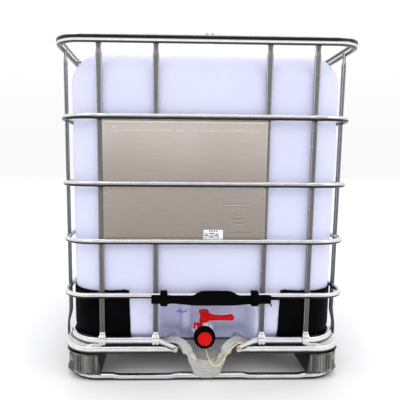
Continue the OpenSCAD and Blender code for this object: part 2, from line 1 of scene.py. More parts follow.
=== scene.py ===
"""Looks of the intermediate bulk container: its pieces, materials, light and camera, round the CAD frame."""
import json
import math

import bmesh
import bpy
from mathutils import Matrix, Vector, noise


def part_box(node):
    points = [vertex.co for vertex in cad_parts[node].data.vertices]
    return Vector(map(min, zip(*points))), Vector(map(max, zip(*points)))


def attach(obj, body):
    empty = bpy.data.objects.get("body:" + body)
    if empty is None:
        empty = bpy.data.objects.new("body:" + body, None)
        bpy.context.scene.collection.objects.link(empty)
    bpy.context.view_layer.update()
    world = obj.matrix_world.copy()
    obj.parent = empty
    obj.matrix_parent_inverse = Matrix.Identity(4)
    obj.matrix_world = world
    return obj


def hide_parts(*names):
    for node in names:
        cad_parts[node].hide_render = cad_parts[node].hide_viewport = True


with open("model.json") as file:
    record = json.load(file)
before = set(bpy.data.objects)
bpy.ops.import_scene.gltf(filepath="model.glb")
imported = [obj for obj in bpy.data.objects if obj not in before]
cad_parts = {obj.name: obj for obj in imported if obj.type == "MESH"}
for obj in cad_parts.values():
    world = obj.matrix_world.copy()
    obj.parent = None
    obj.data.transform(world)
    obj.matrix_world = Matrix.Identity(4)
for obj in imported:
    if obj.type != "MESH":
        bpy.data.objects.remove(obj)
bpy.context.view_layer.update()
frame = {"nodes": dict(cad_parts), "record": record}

MM = 0.001
BODY = "frame"
BODY_OF = {node: body for body, nodes in frame["record"]["behaviour"]["bodies"].items() for node in nodes}


def box_of(node):
    """A CAD node's lowest and highest corners at rest, in millimetres."""
    low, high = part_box(node)
    return Vector(low) / MM, Vector(high) / MM


def smooth(t):
    """Smooth step from 0 to 1."""
    t = min(1.0, max(0.0, t))
    return t * t * (3 - 2 * t)


def rise(x, start, length):
    """0 before start, rising smoothly to 1 over a length."""
    return smooth((x - start) / length)


def bump_at(x, centre, width):
    """A soft peak of height 1 at centre."""
    return math.exp(-((x - centre) / width) ** 2)


def heading(turn):
    """The level direction at an angle anticlockwise from +X."""
    return Vector((math.cos(turn), math.sin(turn), 0))


# ---------- camera, light and floor ----------

CAMERA_PLACE = Vector((-0.134, -1.964, 0.7503))
CAMERA_PITCH = math.radians(6.94)
CAMERA_YAW = math.radians(1.47)
CAMERA_ROLL = math.radians(-0.45)
CAMERA_SENSOR = 36
CAMERA_LENS = 37.68
CAMERA_SHIFT = (0.057, 0.036)


def add_camera():
    forward = Vector((math.sin(CAMERA_YAW) * math.cos(CAMERA_PITCH),
                      math.cos(CAMERA_YAW) * math.cos(CAMERA_PITCH), -math.sin(CAMERA_PITCH)))
    level = Vector((math.cos(CAMERA_YAW), -math.sin(CAMERA_YAW), 0))
    up = level.cross(forward)
    right = level * math.cos(CAMERA_ROLL) - up * math.sin(CAMERA_ROLL)
    top = level * math.sin(CAMERA_ROLL) + up * math.cos(CAMERA_ROLL)
    data = bpy.data.cameras.new("camera")
    data.sensor_width = CAMERA_SENSOR
    data.lens = CAMERA_LENS
    data.shift_x, data.shift_y = CAMERA_SHIFT
    data.clip_end = 100
    camera = bpy.data.objects.new("camera", data)
    turn = Matrix((right, top, -forward)).transposed().to_4x4()
    camera.matrix_world = Matrix.Translation(CAMERA_PLACE) @ turn
    bpy.context.scene.collection.objects.link(camera)
    bpy.context.scene.camera = camera


def add_area(name, place, target, size, power, tint=(1, 1, 1)):
    data = bpy.data.lights.new(name, "AREA")
    data.shape = "RECTANGLE"
    data.size, data.size_y = size
    data.energy = power
    data.color = tint
    lamp = bpy.data.objects.new(name, data)
    lamp.matrix_world = Matrix.Translation(place) @ (Vector(target) - Vector(place)).to_track_quat(
        "-Z", "Y").to_matrix().to_4x4()
    bpy.context.scene.collection.objects.link(lamp)


HORIZON = (0.95, 0.95, 0.95, 1)
ZENITH = (1.12, 1.12, 1.12, 1)
WALL = (0.5, 0.495, 0.5, 1)
WALL_EDGE = (-0.35, -0.75)
WALL_TOP = (0.5, 0.3)
DOME_RISE = (0.02, 0.5)


def add_world():
    """Pale studio: a dome that brightens upwards, and a grey wall about -Y, the side that the valve
    faces, which shades the bare metal. The pairs above are where a part of the direction fades."""
    world = bpy.data.worlds.new("studio")
    world.use_nodes = True
    bpy.context.scene.world = world
    nodes, links = world.node_tree.nodes, world.node_tree.links
    coords = nodes.new("ShaderNodeTexCoord")
    split = nodes.new("ShaderNodeSeparateXYZ")
    links.new(coords.outputs["Generated"], split.inputs["Vector"])

    def fade(source, start, end):
        node = nodes.new("ShaderNodeMapRange")
        node.interpolation_type = "SMOOTHSTEP"
        node.inputs["From Min"].default_value = start
        node.inputs["From Max"].default_value = end
        links.new(source, node.inputs["Value"])
        return node.outputs["Result"]

    front = fade(split.outputs["Y"], *WALL_EDGE)
    low = fade(split.outputs["Z"], *WALL_TOP)
    wall = nodes.new("ShaderNodeMath")
    wall.operation = "MULTIPLY"
    links.new(front, wall.inputs[0])
    links.new(low, wall.inputs[1])
    shade = nodes.new("ShaderNodeMix")
    shade.data_type = "RGBA"
    dome = nodes.new("ShaderNodeMix")
    dome.data_type = "RGBA"
    dome.inputs["A"].default_value = HORIZON
    dome.inputs["B"].default_value = ZENITH
    links.new(fade(split.outputs["Z"], *DOME_RISE), dome.inputs["Factor"])
    links.new(dome.outputs["Result"], shade.inputs["A"])
    shade.inputs["B"].default_value = WALL
    links.new(wall.outputs[0], shade.inputs["Factor"])
    links.new(shade.outputs["Result"], nodes["Background"].inputs["Color"])
    nodes["Background"].inputs["Strength"].default_value = 1.0
    bpy.context.scene.view_settings.view_transform = "Standard"


def add_lights():
    add_area("key", (-2.4, -3.4, 3.2), (0, 0, 0.6), (2.6, 2.2), 26)
    add_area("fill", (3.0, -3.0, 2.4), (0, 0, 0.6), (2.4, 2.4), 20)
    add_area("top", (0, 0.2, 4.2), (0, 0, 0), (3.0, 3.0), 26)


def add_floor():
    bpy.ops.mesh.primitive_plane_add(size=40, location=(0, 0, 0))
    floor = bpy.context.object
    floor.name = "floor"
    floor.data.materials.append(MATERIALS["floor"])


# ---------- materials ----------

class Maker:
    """A node material under construction."""

    def __init__(self, name):
        self.material = bpy.data.materials.new(name)
        self.material.use_nodes = True
        self.nodes = self.material.node_tree.nodes
        self.links = self.material.node_tree.links
        self.shader = self.nodes["Principled BSDF"]
        self.coords = self.nodes.new("ShaderNodeTexCoord").outputs["Object"]

    def set(self, **values):
        for key, value in values.items():
            self.shader.inputs[key.replace("_", " ")].default_value = value

    def stretched(self, scale):
        node = self.nodes.new("ShaderNodeMapping")
        node.inputs["Scale"].default_value = scale
        self.links.new(self.coords, node.inputs["Vector"])
        return node.outputs["Vector"]

    def noise(self, scale, detail=3, stretch=None, distortion=0.0):
        node = self.nodes.new("ShaderNodeTexNoise")
        node.inputs["Scale"].default_value = scale
        node.inputs["Detail"].default_value = detail
        node.inputs["Distortion"].default_value = distortion
        self.links.new(self.stretched(stretch) if stretch else self.coords, node.inputs["Vector"])
        return node.outputs["Fac"]

    def cells(self, scale, randomness=1.0):
        node = self.nodes.new("ShaderNodeTexVoronoi")
        node.inputs["Scale"].default_value = scale
        node.inputs["Randomness"].default_value = randomness
        self.links.new(self.coords, node.inputs["Vector"])
        grey = self.nodes.new("ShaderNodeRGBToBW")
        self.links.new(node.outputs["Color"], grey.inputs["Color"])
        return grey.outputs["Val"]

    def ramp(self, source, stops):
        node = self.nodes.new("ShaderNodeValToRGB")
        ramp = node.color_ramp
        while len(ramp.elements) < len(stops):
            ramp.elements.new(0.5)
        for element, (place, colour) in zip(ramp.elements, stops):
            element.position = place
            element.color = (*colour, 1) if len(colour) == 3 else colour
        self.links.new(source, node.inputs["Fac"])
        return node.outputs["Color"]

    def range(self, source, low, high, start=0.25, end=0.75):
        node = self.nodes.new("ShaderNodeMapRange")
        node.inputs["From Min"].default_value = start
        node.inputs["From Max"].default_value = end
        node.inputs["To Min"].default_value = low
        node.inputs["To Max"].default_value = high
        self.links.new(source, node.inputs["Value"])
        return node.outputs["Result"]

    def mix(self, factor, first, second, blend="MIX"):
        node = self.nodes.new("ShaderNodeMix")
        node.data_type = "RGBA"
        node.blend_type = blend
        for socket, value in (("Factor", factor), ("A", first), ("B", second)):
            if isinstance(value, (int, float)):
                node.inputs[socket].default_value = value
            elif isinstance(value, tuple):
                node.inputs[socket].default_value = (*value, 1)
            else:
                self.links.new(value, node.inputs[socket])
        return node.outputs["Result"]

    def colour(self, source):
        self.links.new(source, self.shader.inputs["Base Color"])

    def roughness(self, source):
        self.links.new(source, self.shader.inputs["Roughness"])

    def split(self, vector):
        node = self.nodes.new("ShaderNodeSeparateXYZ")
        self.links.new(vector, node.inputs["Vector"])
        return node.outputs

    def paint_light_bands(self, source, axis, stops):
        """Paints highlights and shade into the colour: multiplies it by greys placed along one part of the
        surface's own normal, -1 to 1.
        """
        normal = self.nodes.new("ShaderNodeTexCoord").outputs["Normal"]
        place = self.range(self.split(normal)[axis], 0, 1, -1, 1)
        greys = self.ramp(place, [((at + 1) / 2, (grey, grey, grey)) for at, grey in stops])
        return self.mix(1.0, source, greys, "MULTIPLY")

    def bump(self, source, strength, distance):
        node = self.nodes.new("ShaderNodeBump")
        node.inputs["Strength"].default_value = strength
        node.inputs["Distance"].default_value = distance
        self.links.new(source, node.inputs["Height"])
        previous = self.shader.inputs["Normal"].links
        if previous:
            self.links.new(previous[0].from_socket, node.inputs["Normal"])
        self.links.new(node.outputs["Normal"], self.shader.inputs["Normal"])


# Painted highlights and painted shade of the tubes and feet: greys placed along one part of the surface's own
# normal
RAIL_PAINTED_LIGHT = [(-1, 0.08), (-0.58, 0.08), (-0.44, 0.9), (-0.16, 0.9), (-0.09, 0.04), (0.04, 0.035),
              (0.13, 0.95)]
RING_PAINTED_LIGHT = [(-0.5, 0.03), (-0.12, 0.04), (0.04, 0.85), (0.5, 0.8), (0.9, 0.95)]
POST_PAINTED_LIGHT = [(-0.95, 0.25), (-0.72, 0.9), (-0.35, 0.26), (0.35, 0.26), (0.72, 0.75), (0.95, 0.2)]
FOOT_PAINTED_LIGHT = [(-1, 0.13), (-0.75, 0.22), (-0.42, 1), (-0.12, 0.24), (0.12, 0.24), (0.42, 1),
              (0.75, 0.22), (1, 0.13)]
# Heights in metres of the posts' painted shade: darkest up to the first, gone from the second
LOW_SHADE_FROM, LOW_SHADE_TO = 0.15, 1.1


def galvanised_tube(name, axis, bands, metallic=1.0, low_shade_grey=1.0):
    """Bare zinc with painted highlights and painted shade in bands round the tube, and, when asked, painted
    shade that darkens it towards the ground.
    """
    m = Maker(name)
    m.set(Metallic=metallic)
    zinc = m.ramp(m.noise(30, 3), [(0.3, (0.84, 0.835, 0.84)), (0.7, (0.97, 0.965, 0.97))])
    # Painted shade: the zinc darkens towards the ground.
    if low_shade_grey < 1:
        low_shade = m.ramp(m.range(m.split(m.coords)["Z"], 0, 1, LOW_SHADE_FROM, LOW_SHADE_TO),
                           [(0.0, (low_shade_grey, low_shade_grey, low_shade_grey)), (1.0, (1, 1, 1))])
        zinc = m.mix(1.0, zinc, low_shade, "MULTIPLY")
    # The bands are painted highlights and painted shade, set by the surface's normal.
    m.colour(m.paint_light_bands(zinc, axis, bands))
    m.roughness(m.range(m.noise(24, 3), 0.2, 0.3))
    m.bump(m.noise(160, 3), 0.05, 0.0002)
    return m.material


# Copies made lighter than the plain sheet through low and high are lit copies: painted light.
def galvanised_sheet(name="galvanised_sheet", low=0.14, high=0.2, metallic=1.0, bands=None):
    m = Maker(name)
    m.set(Metallic=metallic)
    spangle = m.cells(150)
    cloudy = m.ramp(m.noise(9, 4), [(0.3, (low, low, low * 0.98)), (0.7, (high, high * 0.99, high * 0.95))])
    pale = m.mix(1.0, cloudy, m.ramp(spangle, [(0.2, (0.84, 0.84, 0.84)), (0.9, (1, 1, 1))]), "MULTIPLY")
    # With bands, painted highlights and painted shade by the surface's normal.
    m.colour(m.paint_light_bands(pale, "X", bands) if bands else pale)
    m.roughness(m.range(spangle, 0.3, 0.48, 0, 1))
    m.bump(m.noise(60, 3), 0.12, 0.0008)
    return m.material


def label_sheet():
    m = Maker("label_sheet")
    m.set(Metallic=0.8)
    grain = m.noise(30, 4, stretch=(1, 1, 60))
    brushed = m.ramp(grain, [(0.3, (0.7, 0.622, 0.57)), (0.7, (0.81, 0.735, 0.68))])
    low, high = box_of("label_plate")
    # The plate is made darker towards its bottom.
    darker_below = m.ramp(m.range(m.split(m.coords)["Z"], 0, 1, low.z * MM, high.z * MM),
                  [(0.0, (0.4, 0.385, 0.37)), (0.55, (0.6, 0.59, 0.58)), (1.0, (1, 1, 1))])
    m.colour(m.mix(1.0, brushed, darker_below, "MULTIPLY"))
    m.roughness(m.range(m.noise(5, 3), 0.3, 0.4))
    m.bump(grain, 0.04, 0.0003)
    m.bump(m.noise(3.2, 2), 0.25, 0.006)
    return m.material


def speckled(name, colour, roughness, bumps=(), **values):
    """A material of noises: colour is (scale, detail, stops), roughness is (scale, detail, low, high),
    and a bump is (scale, detail, strength, distance)."""
    m = Maker(name)
    m.set(**values)
    scale, detail, stops = colour
    m.colour(m.ramp(m.noise(scale, detail), stops))
    scale, detail, low, high = roughness
    m.roughness(m.range(m.noise(scale, detail), low, high))
    for scale, detail, strength, distance in bumps:
        m.bump(m.noise(scale, detail), strength, distance)
    return m.material


def zinc_fastener():
    return speckled("zinc_fastener", (120, 3, [(0.3, (0.45, 0.45, 0.45)), (0.7, (0.7, 0.7, 0.68))]),
                    (90, 2, 0.25, 0.4), Metallic=1.0)


def natural_hdpe():
    """The faint emission is a painted glow: it stands for light that comes through the bottle's wall and
    lifts the shade in the niche.
    """
    return speckled("natural_hdpe", (2.2, 4, [(0.3, (0.66, 0.675, 0.86)), (0.7, (0.70, 0.715, 0.89))]),
                    (14, 4, 0.34, 0.48), [(260, 3, 0.06, 0.0004), (3.5, 2, 0.3, 0.006)],
                    Subsurface_Weight=0.35, Subsurface_Scale=0.02, Subsurface_Radius=(1.0, 0.95, 1.0),
                    Specular_IOR_Level=0.4, Emission_Color=(0.45, 0.45, 0.85, 1), Emission_Strength=0.07)


def valve_white():
    return speckled("valve_white", (30, 3, [(0.3, (0.78, 0.78, 0.81)), (0.7, (0.86, 0.86, 0.88))]),
                    (50, 3, 0.32, 0.45), [(300, 3, 0.08, 0.0003)],
                    Subsurface_Weight=0.2, Subsurface_Scale=0.006, Specular_IOR_Level=0.45)


def black_plastic():
    stops = [(0.3, (0.0012, 0.0012, 0.0016)), (0.75, (0.003, 0.003, 0.0036))]
    return speckled("black_plastic", (12, 5, stops), (45, 4, 0.42, 0.6), [(420, 4, 0.18, 0.0004)],
                    Specular_IOR_Level=0.015)


def red_plastic():
    return speckled("red_plastic", (40, 4, [(0.3, (0.58, 0.001, 0.003)), (0.7, (0.68, 0.002, 0.005))]),
                    (60, 4, 0.26, 0.4), [(380, 3, 0.08, 0.0003)], Specular_IOR_Level=0.12)


def black_rubber():
    return speckled("black_rubber", (60, 4, [(0.3, (0.012, 0.012, 0.012)), (0.7, (0.03, 0.03, 0.03))]),
                    (80, 3, 0.6, 0.8), [(500, 3, 0.15, 0.0003)])


def yellow_cable():
    return speckled("yellow_cable", (140, 2, [(0.35, (0.6, 0.53, 0.13)), (0.6, (0.82, 0.76, 0.36))]),
                    (90, 3, 0.35, 0.5), [(600, 2, 0.1, 0.0002)])


def sticker_film():
    return speckled("sticker_film", (60, 3, [(0.3, (0.84, 0.84, 0.88)), (0.7, (0.9, 0.9, 0.93))]),
                    (40, 2, 0.35, 0.5))


def ink(name, low, high):
    return speckled(name, (240, 3, [(0.35, low), (0.65, high)]), (200, 2, 0.4, 0.6))


def floor_paint():
    m = Maker("floor_paint")
    m.colour(m.ramp(m.noise(0.6, 3), [(0.3, (0.95, 0.95, 0.95)), (0.7, (0.97, 0.97, 0.97))]))
    m.set(Roughness=0.85)
    return m.material


MATERIALS = {
    # The tubes carry painted highlights and painted shade in bands.
    "galvanised_tube": galvanised_tube("galvanised_tube", "Z", RING_PAINTED_LIGHT),
    "rail_tube": galvanised_tube("rail_tube", "Z", RAIL_PAINTED_LIGHT),
    # Posts: painted highlights and shade round them, and painted shade towards the ground.
    "post_tube": galvanised_tube("post_tube", "X", POST_PAINTED_LIGHT, metallic=0.6, low_shade_grey=0.3),
    "galvanised_sheet": galvanised_sheet(),
    # The feet's sheet: a lighter copy with painted highlights and painted shade in bands.
    "foot_sheet": galvanised_sheet("foot_sheet", 0.3, 0.4, 0.95, FOOT_PAINTED_LIGHT),
    "zinc_fastener": zinc_fastener(), "label_sheet": label_sheet(), "sticker": sticker_film(),
    "natural_hdpe": natural_hdpe(), "valve_white": valve_white(), "black_rubber": black_rubber(),
    "lid_red": red_plastic(), "black_plastic": black_plastic(), "red_plastic": red_plastic(),
    "valve_disc_steel": zinc_fastener(), "yellow_cable": yellow_cable(),
    "navy_ink": ink("navy_ink", (0.01, 0.015, 0.08), (0.03, 0.04, 0.16)),
    "blue_ink": ink("blue_ink", (0.05, 0.1, 0.5), (0.16, 0.24, 0.75)),
    # Lighter copies of the galvanised sheet for the apron and the corner webs: painted light.
    "apron_sheet": galvanised_sheet("apron_sheet", 0.52, 0.6, 0.45),
    "bright_sheet": galvanised_sheet("bright_sheet", 0.55, 0.8),
    "floor": floor_paint(),
}


# ---------- geometry helpers, in millimetres ----------

class Shape:
    """Points and faces of one piece, in millimetres, gathered before its mesh is made."""

    def __init__(self):
        self.points, self.faces = [], []

    def grid(self, rows, loop_rows=False, loop_columns=False, caps=False):
        base, n, m = len(self.points), len(rows), len(rows[0])
        for row in rows:
            self.points.extend(row)
        for i in range(n if loop_rows else n - 1):
            for j in range(m if loop_columns else m - 1):
                here, there, k = base + i * m, base + (i + 1) % n * m, (j + 1) % m
                self.faces.append((here + j, here + k, there + k, there + j))
        if caps:
            self.faces.append(tuple(base + j for j in range(m)))
            self.faces.append(tuple(base + (n - 1) * m + j for j in range(m)))
        return self

    def solid(self, rows):
        """Rows of closed sections, with an end on the first and the last."""
        return self.grid(rows, loop_columns=True, caps=True)

    def sheet(self, rows, thickness):
        """Rows of points as a sheet: thickness is a vector, or a function of a point."""
        move = thickness if callable(thickness) else (lambda point: thickness)
        back = [[point + move(point) for point in row] for row in rows]
        self.grid(rows)
        self.grid(back)
        rims = [[*face[0], *[row[-1] for row in face[1:]], *reversed(face[-1][:-1]),
                 *[row[0] for row in reversed(face[1:-1])]] for face in (rows, back)]
        return self.grid(rims, loop_columns=True)

    def lathe(self, profile, centre, axis=Vector((0, -1, 0)), count=64, start=0.0):
        """Profile of (radius, height along the axis) pairs turned round the axis, closed at both ends."""
        side = axis.orthogonal().normalized()
        other = axis.cross(side)
        rows = []
        for radius, height in profile:
            size = radius if callable(radius) else (lambda turn, r=radius: r)
            turns = [start + 2 * math.pi * k / count for k in range(count)]
            rows.append([centre + axis * height + (side * math.cos(t) + other * math.sin(t)) * size(t)
                         for t in turns])
        return self.solid(rows)

    def prism(self, outline, place, depth):
        """An outline of (a, b) pairs carried to space by place and pushed through by the vector depth."""
        front = [place(a, b) for a, b in outline]
        return self.solid([front, [point + depth for point in front]])


def piece(name, shape, slot, nodes=(), body=BODY, sharp=38, bevel=0.0, material=None):
    """Make the mesh of a piece, let it ride on a body and stand for its CAD nodes."""
    mesh = bpy.data.meshes.new(name)
    mesh.from_pydata([tuple(point * MM) for point in shape.points], [], shape.faces)
    work = bmesh.new()
    work.from_mesh(mesh)
    bmesh.ops.remove_doubles(work, verts=work.verts, dist=0.01 * MM)
    bmesh.ops.recalc_face_normals(work, faces=work.faces)
    work.to_mesh(mesh)
    work.free()
    mesh.materials.append(MATERIALS[material or slot])
    mesh.shade_smooth()
    mesh.set_sharp_from_angle(angle=math.radians(sharp))
    made = bpy.data.objects.new(name, mesh)
    bpy.context.scene.collection.objects.link(made)
    if bevel:
        edge = made.modifiers.new("edge", "BEVEL")
        edge.width = bevel * MM
        edge.segments = 2
        edge.limit_method = "ANGLE"
        edge.angle_limit = math.radians(40)
    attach(made, body)
    if nodes:
        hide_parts(*nodes)
    return made


def mix(a, b, t):
    """From a at 0 to b at 1."""
    return a + (b - a) * t


def along(stops, v):
    """Smooth run through a list of (v, value) stops."""
    for (v0, a), (v1, b) in zip(stops, stops[1:]):
        if v <= v1:
            return mix(a, b, smooth((v - v0) / (v1 - v0)))
    return stops[-1][1]


def spread(low, high, step):
    """Evenly spaced values from low to high, about a step apart."""
    count = max(1, round((high - low) / step))
    return [mix(low, high, i / count) for i in range(count + 1)]


def oval(depth, height, power=2.6, count=24):
    """Section of a tube as (outwards, up) pairs, with its outer face at 0 and its middle at height 0."""
    section = []
    for k in range(count):
        c, s = math.cos(2 * math.pi * k / count), math.sin(2 * math.pi * k / count)
        section.append((depth / 2 * (math.copysign(abs(c) ** (2 / power), c) - 1),
                        height / 2 * math.copysign(abs(s) ** (2 / power), s)))
    return section


def loop_path(half_x, half_y, radius, gap=None, step=12):
    """Points and outward directions round a rectangle with round corners, anticlockwise from above.
    A gap (left, right) in the front side opens the path: it then runs from the right end to the left."""
    corners = [(half_x - radius, radius - half_y), (half_x - radius, half_y - radius),
               (radius - half_x, half_y - radius), (radius - half_x, radius - half_y)]
    path = []
    for k, (x, y) in enumerate(corners):
        for turn in spread(math.radians(90 * k - 90), math.radians(90 * k), math.radians(6)):
            out = heading(turn)
            path.append((Vector((x, y, 0)) + out * radius, out))
        start, out = path[-1]
        following = Vector((*corners[(k + 1) % 4], 0)) + out * radius
        if k == 3 and gap:
            after = [(Vector((x, start.y, 0)), out) for x in spread(start.x, gap[0], step)[1:]]
            before = [(Vector((x, start.y, 0)), out) for x in spread(gap[1], following.x, step)[:-1]]
            return before + path + after
        inner = spread(0, 1, step / (following - start).length)[1:-1]
        path += [(start.lerp(following, t), out) for t in inner]
    return path


def tube(shape, path, section_at, closed=True):
    """Sweep a section along a level path; section_at gives (outwards, height) pairs for a point."""
    rows = [[point + out * a + UP * b for a, b in section_at(point, out)] for point, out in path]
    return shape.grid(rows, loop_rows=closed, loop_columns=True, caps=not closed)


def middle(node):
    """The middle of a CAD node's box, in millimetres."""
    low, high = box_of(node)
    return (low + high) / 2


# ---------- places taken from the frame ----------

UP = Vector((0, 0, 1))
FRONT = Vector((0, -1, 0))
FRONT_X = [middle(f"front_upright_{i}").x for i in range(1, 5)]
REAR_X = [middle(f"rear_upright_{i}").x for i in range(1, 5)]
SIDE_Y = [middle(f"left_upright_{i}").y for i in range(1, 5)]
RING_Z = [middle(f"cage_ring_{i}").z for i in range(1, 5)]
UPRIGHT_FACE_X = -box_of("left_upright_1")[0].x
UPRIGHT_FACE_Y = -box_of("front_upright_4")[0].y
# Middle of the opening in the front of the pallet
GAP_X = 8.0
# Each end and corner of the object: the side of the middle that it is on, and its name
ENDS = [(-1, FRONT_X, "front"), (1, REAR_X, "rear")]
SIDES = [(-1, "left"), (1, "right")]
CORNERS = [(side_x, side_y, f"{row}_{column}") for side_x, column in SIDES for side_y, _, row in ENDS]
STRAIGHT = 0.01


def crossing(point, out):
    """1 where an upright crosses a level tube, falling to 0 on both sides of it."""
    if abs(out.x) < STRAIGHT:
        marks, place = (FRONT_X if point.y < 0 else REAR_X), point.x
    elif abs(out.y) < STRAIGHT:
        marks, place = SIDE_Y, point.y
    else:
        return 0.0
    return min(1.0, sum(bump_at(place, mark, 12) for mark in marks))


# ---------- earth cable ----------

CABLE_ROUTE = [(4, -556, 117), (4, -556, 110), (6, -561, 102), (9, -570, 94), (12, -580, 85),
               (17, -589, 76), (22, -594, 68), (29, -596, 61), (37, -597, 58), (46, -597, 60),
               (55, -597, 68), (63, -597, 79), (71, -597, 92), (80, -597, 106), (90, -597, 119),
               (101, -597, 130), (112, -597, 138), (122, -596, 140), (130, -593, 138),
               (134, -589, 134), (135, -586, 129)]
CABLE_THICKNESS = 5.0


def add_earth_cable():
    curve = bpy.data.curves.new("earth_lead", "CURVE")
    curve.dimensions = "3D"
    curve.bevel_depth = CABLE_THICKNESS / 2 * MM
    curve.bevel_resolution = 4
    curve.resolution_u = 8
    curve.use_fill_caps = True
    spline = curve.splines.new("BEZIER")
    spline.bezier_points.add(len(CABLE_ROUTE) - 1)
    for knot, place in zip(spline.bezier_points, CABLE_ROUTE):
        knot.co = Vector(place) * MM
        knot.handle_left_type = knot.handle_right_type = "AUTO"
    curve.materials.append(MATERIALS["yellow_cable"])
    lead = bpy.data.objects.new("earth_lead", curve)
    bpy.context.scene.collection.objects.link(lead)
    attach(lead, BODY)
    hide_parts("earth_cable")


# ---------- cage ----------

def add_ring(number):
    """One tube round the cage, pinched a little where it is welded to an upright."""
    low, high = box_of(f"cage_ring_{number}")
    radius = 92 if number == 1 else 110

    def section_at(point, out):
        near = crossing(point, out)
        return [(a - 1.8 * near, b + (low.z + high.z) / 2)
                for a, b in oval(15 - 1.8 * near, high.z - low.z + 1.5 * near, 2.5)]

    piece(f"ring_tube_{number}", tube(Shape(), loop_path(high.x, high.y, radius), section_at),
          "galvanised_tube", [f"cage_ring_{number}"])


def add_top_rail():
    low, high = box_of("top_rail")
    seam = Vector((0, low.y, 0))

    def section_at(point, out):
        near_seam = bump_at((point - seam).length, 0, 7)
        slack = 0.8 * noise.noise(point * 0.011)
        return [(a - 0.9 * near_seam + slack * 0.4, b + (low.z + high.z) / 2)
                for a, b in oval(22 - 1.2 * near_seam, high.z - low.z - 1.5 * near_seam, 2.7, 32)]

    piece("stacking_rail", tube(Shape(), loop_path(high.x, high.y, 88), section_at),
          "galvanised_tube", ["top_rail"], material="rail_tube")


NECK_FROM, NECK_TO = 1098, 1122
WIDENS_FROM = 940


def upright_rows(place, out, bottom, top, foot):
    """Rows of an upright's sections; foot(z) gives its outward shift, its flattening and its widening."""
    across = UP.cross(out)
    rows = []
    for z in spread(bottom, top, 7):
        near = min(1.0, sum(bump_at(z, ring, 11) for ring in RING_Z))
        neck = rise(z, NECK_FROM, 12) * (1 - rise(z, NECK_TO, 10))
        shift, flat, wide = foot(z)
        width = 17.5 + 4 * rise(z, WIDENS_FROM, 150) + 1.5 * near - 5 * neck + wide
        depth = 13 - 1.5 * near - 5 * neck - flat
        row = []
        for a, b in oval(depth, width, 2.9, 28):
            crease = 1.1 * bump_at(b, 0, 2.6) if a > -depth / 2 else 0
            row.append(place + out * (a - 1.5 * near - 2 * neck + shift - crease) + across * b + UP * z)
        rows.append(row)
    return rows


def add_uprights(name, number, place, out, lower, foot):
    """One upright, from a little below its CAD shape's foot where lower says so."""
    low, high = box_of(f"{name}_upright_{number}")
    rows = upright_rows(place, out, low.z - lower, high.z, foot)
    piece(f"{name}_post_{number}", Shape().solid(rows), "galvanised_tube",
          [f"{name}_upright_{number}"], material="post_tube")


def add_end_uprights():
    """Front and rear uprights: flattened and spread where they stand on the base rail."""
    foot = lambda z: (0, 3 * smooth((178 - z) / 22), 5 * smooth((182 - z) / 26))
    for side, places, name in ENDS:
        for i, x in enumerate(places, 1):
            add_uprights(name, i, Vector((x, side * UPRIGHT_FACE_Y, 0)), Vector((0, side, 0)), 0, foot)


def add_side_uprights():
    """Side uprights: their feet flare outwards, over the base rail and down to the tray rim."""
    foot = lambda z: (6 * smooth((228 - z) / 72), 7 * smooth((215 - z) / 60), 12 * smooth((205 - z) / 60))
    for side, name in SIDES:
        for i, y in enumerate(SIDE_Y, 1):
            add_uprights(name, i, Vector((side * UPRIGHT_FACE_X, y, 0)), Vector((side, 0, 0)), 3, foot)


def add_claws():
    """Two-lobed tongues that lap from each end upright over the face of the base rail."""
    low, high = box_of("upright_claws")
    shape = Shape()
    for side, places, _ in ENDS:
        for x in places:
            rows = []
            for t in spread(0, 1, 0.08):
                z = mix(172, low.z + 1, t)
                y = mix(UPRIGHT_FACE_Y + 0.3, high.y + 0.5, smooth((168 - z) / 18))
                half = mix(8.2, 12.5, smooth((172 - z) / 22))
                row = []
                for u in spread(-1, 1, 0.1):
                    lobe = 5 * (1 - abs(math.sin(math.pi * u))) * smooth((t - 0.55) / 0.45)
                    swell = 1.6 * abs(math.sin(math.pi * u)) * smooth((t - 0.4) / 0.3)
                    row.append(Vector((x + half * u, side * (y + swell - 1.5 * abs(u) ** 3), z + lobe)))
                rows.append(row)
            shape.sheet(rows, Vector((0, -side * 2.5, 0)))
    piece("post_claws", shape, "galvanised_tube", ["upright_claws"])


def rail_end(x, start_left, end_left):
    """0 away from the opening in the front, rising to 1 at a rail's end."""
    run = end_left - start_left
    return max(0.0, (run - (abs(x - GAP_X) - (GAP_X - end_left))) / run)


def add_open_rail(name, node, radius, height_mid, end_x, dip_from, drop, flatten, lift_out, power):
    """A rail round the pallet, with flattened ends that dip towards the opening in the front."""
    high = box_of(node)[1]
    height = 2 * (high.z - height_mid)
    depth = 16

    def section_at(point, out):
        on_front = point.y < -high.y + 1 and abs(out.x) < STRAIGHT
        t = rail_end(point.x, dip_from, end_x) if on_front else 0.0
        near = crossing(point, out) * (1 - min(1, t * 4))
        squash = smooth(t * 1.5)
        z = height_mid - drop * t ** 1.7
        return [(a * (1 - flatten * squash) - 1.2 * near + lift_out * squash, b * (1 - 0.25 * squash) + z)
                for a, b in oval(depth, height, power, 26)]

    path = loop_path(high.x, high.y, radius, gap=(end_x, 2 * GAP_X - end_x), step=9)
    piece(name, tube(Shape(), path, section_at, closed=False), "galvanised_tube", [node])


def add_crossbars():
    for side, _, name in ENDS:
        low, high = box_of(f"crossbar_{name}")
        centre = (low + high) / 2
        rows = []
        for x in spread(low.x, high.x, 9):
            end = smooth((abs(x) - (high.x - 42)) / 22)
            depth = 26 + 6 * end
            section = oval(depth, 20 - 15 * end, 3.2, 28)
            rows.append([Vector((x, centre.y + (a + depth / 2) * -side, centre.z + b)) for a, b in section])
        piece(f"top_bar_{name}", Shape().solid(rows), "galvanised_tube",
              [f"crossbar_{name}"])


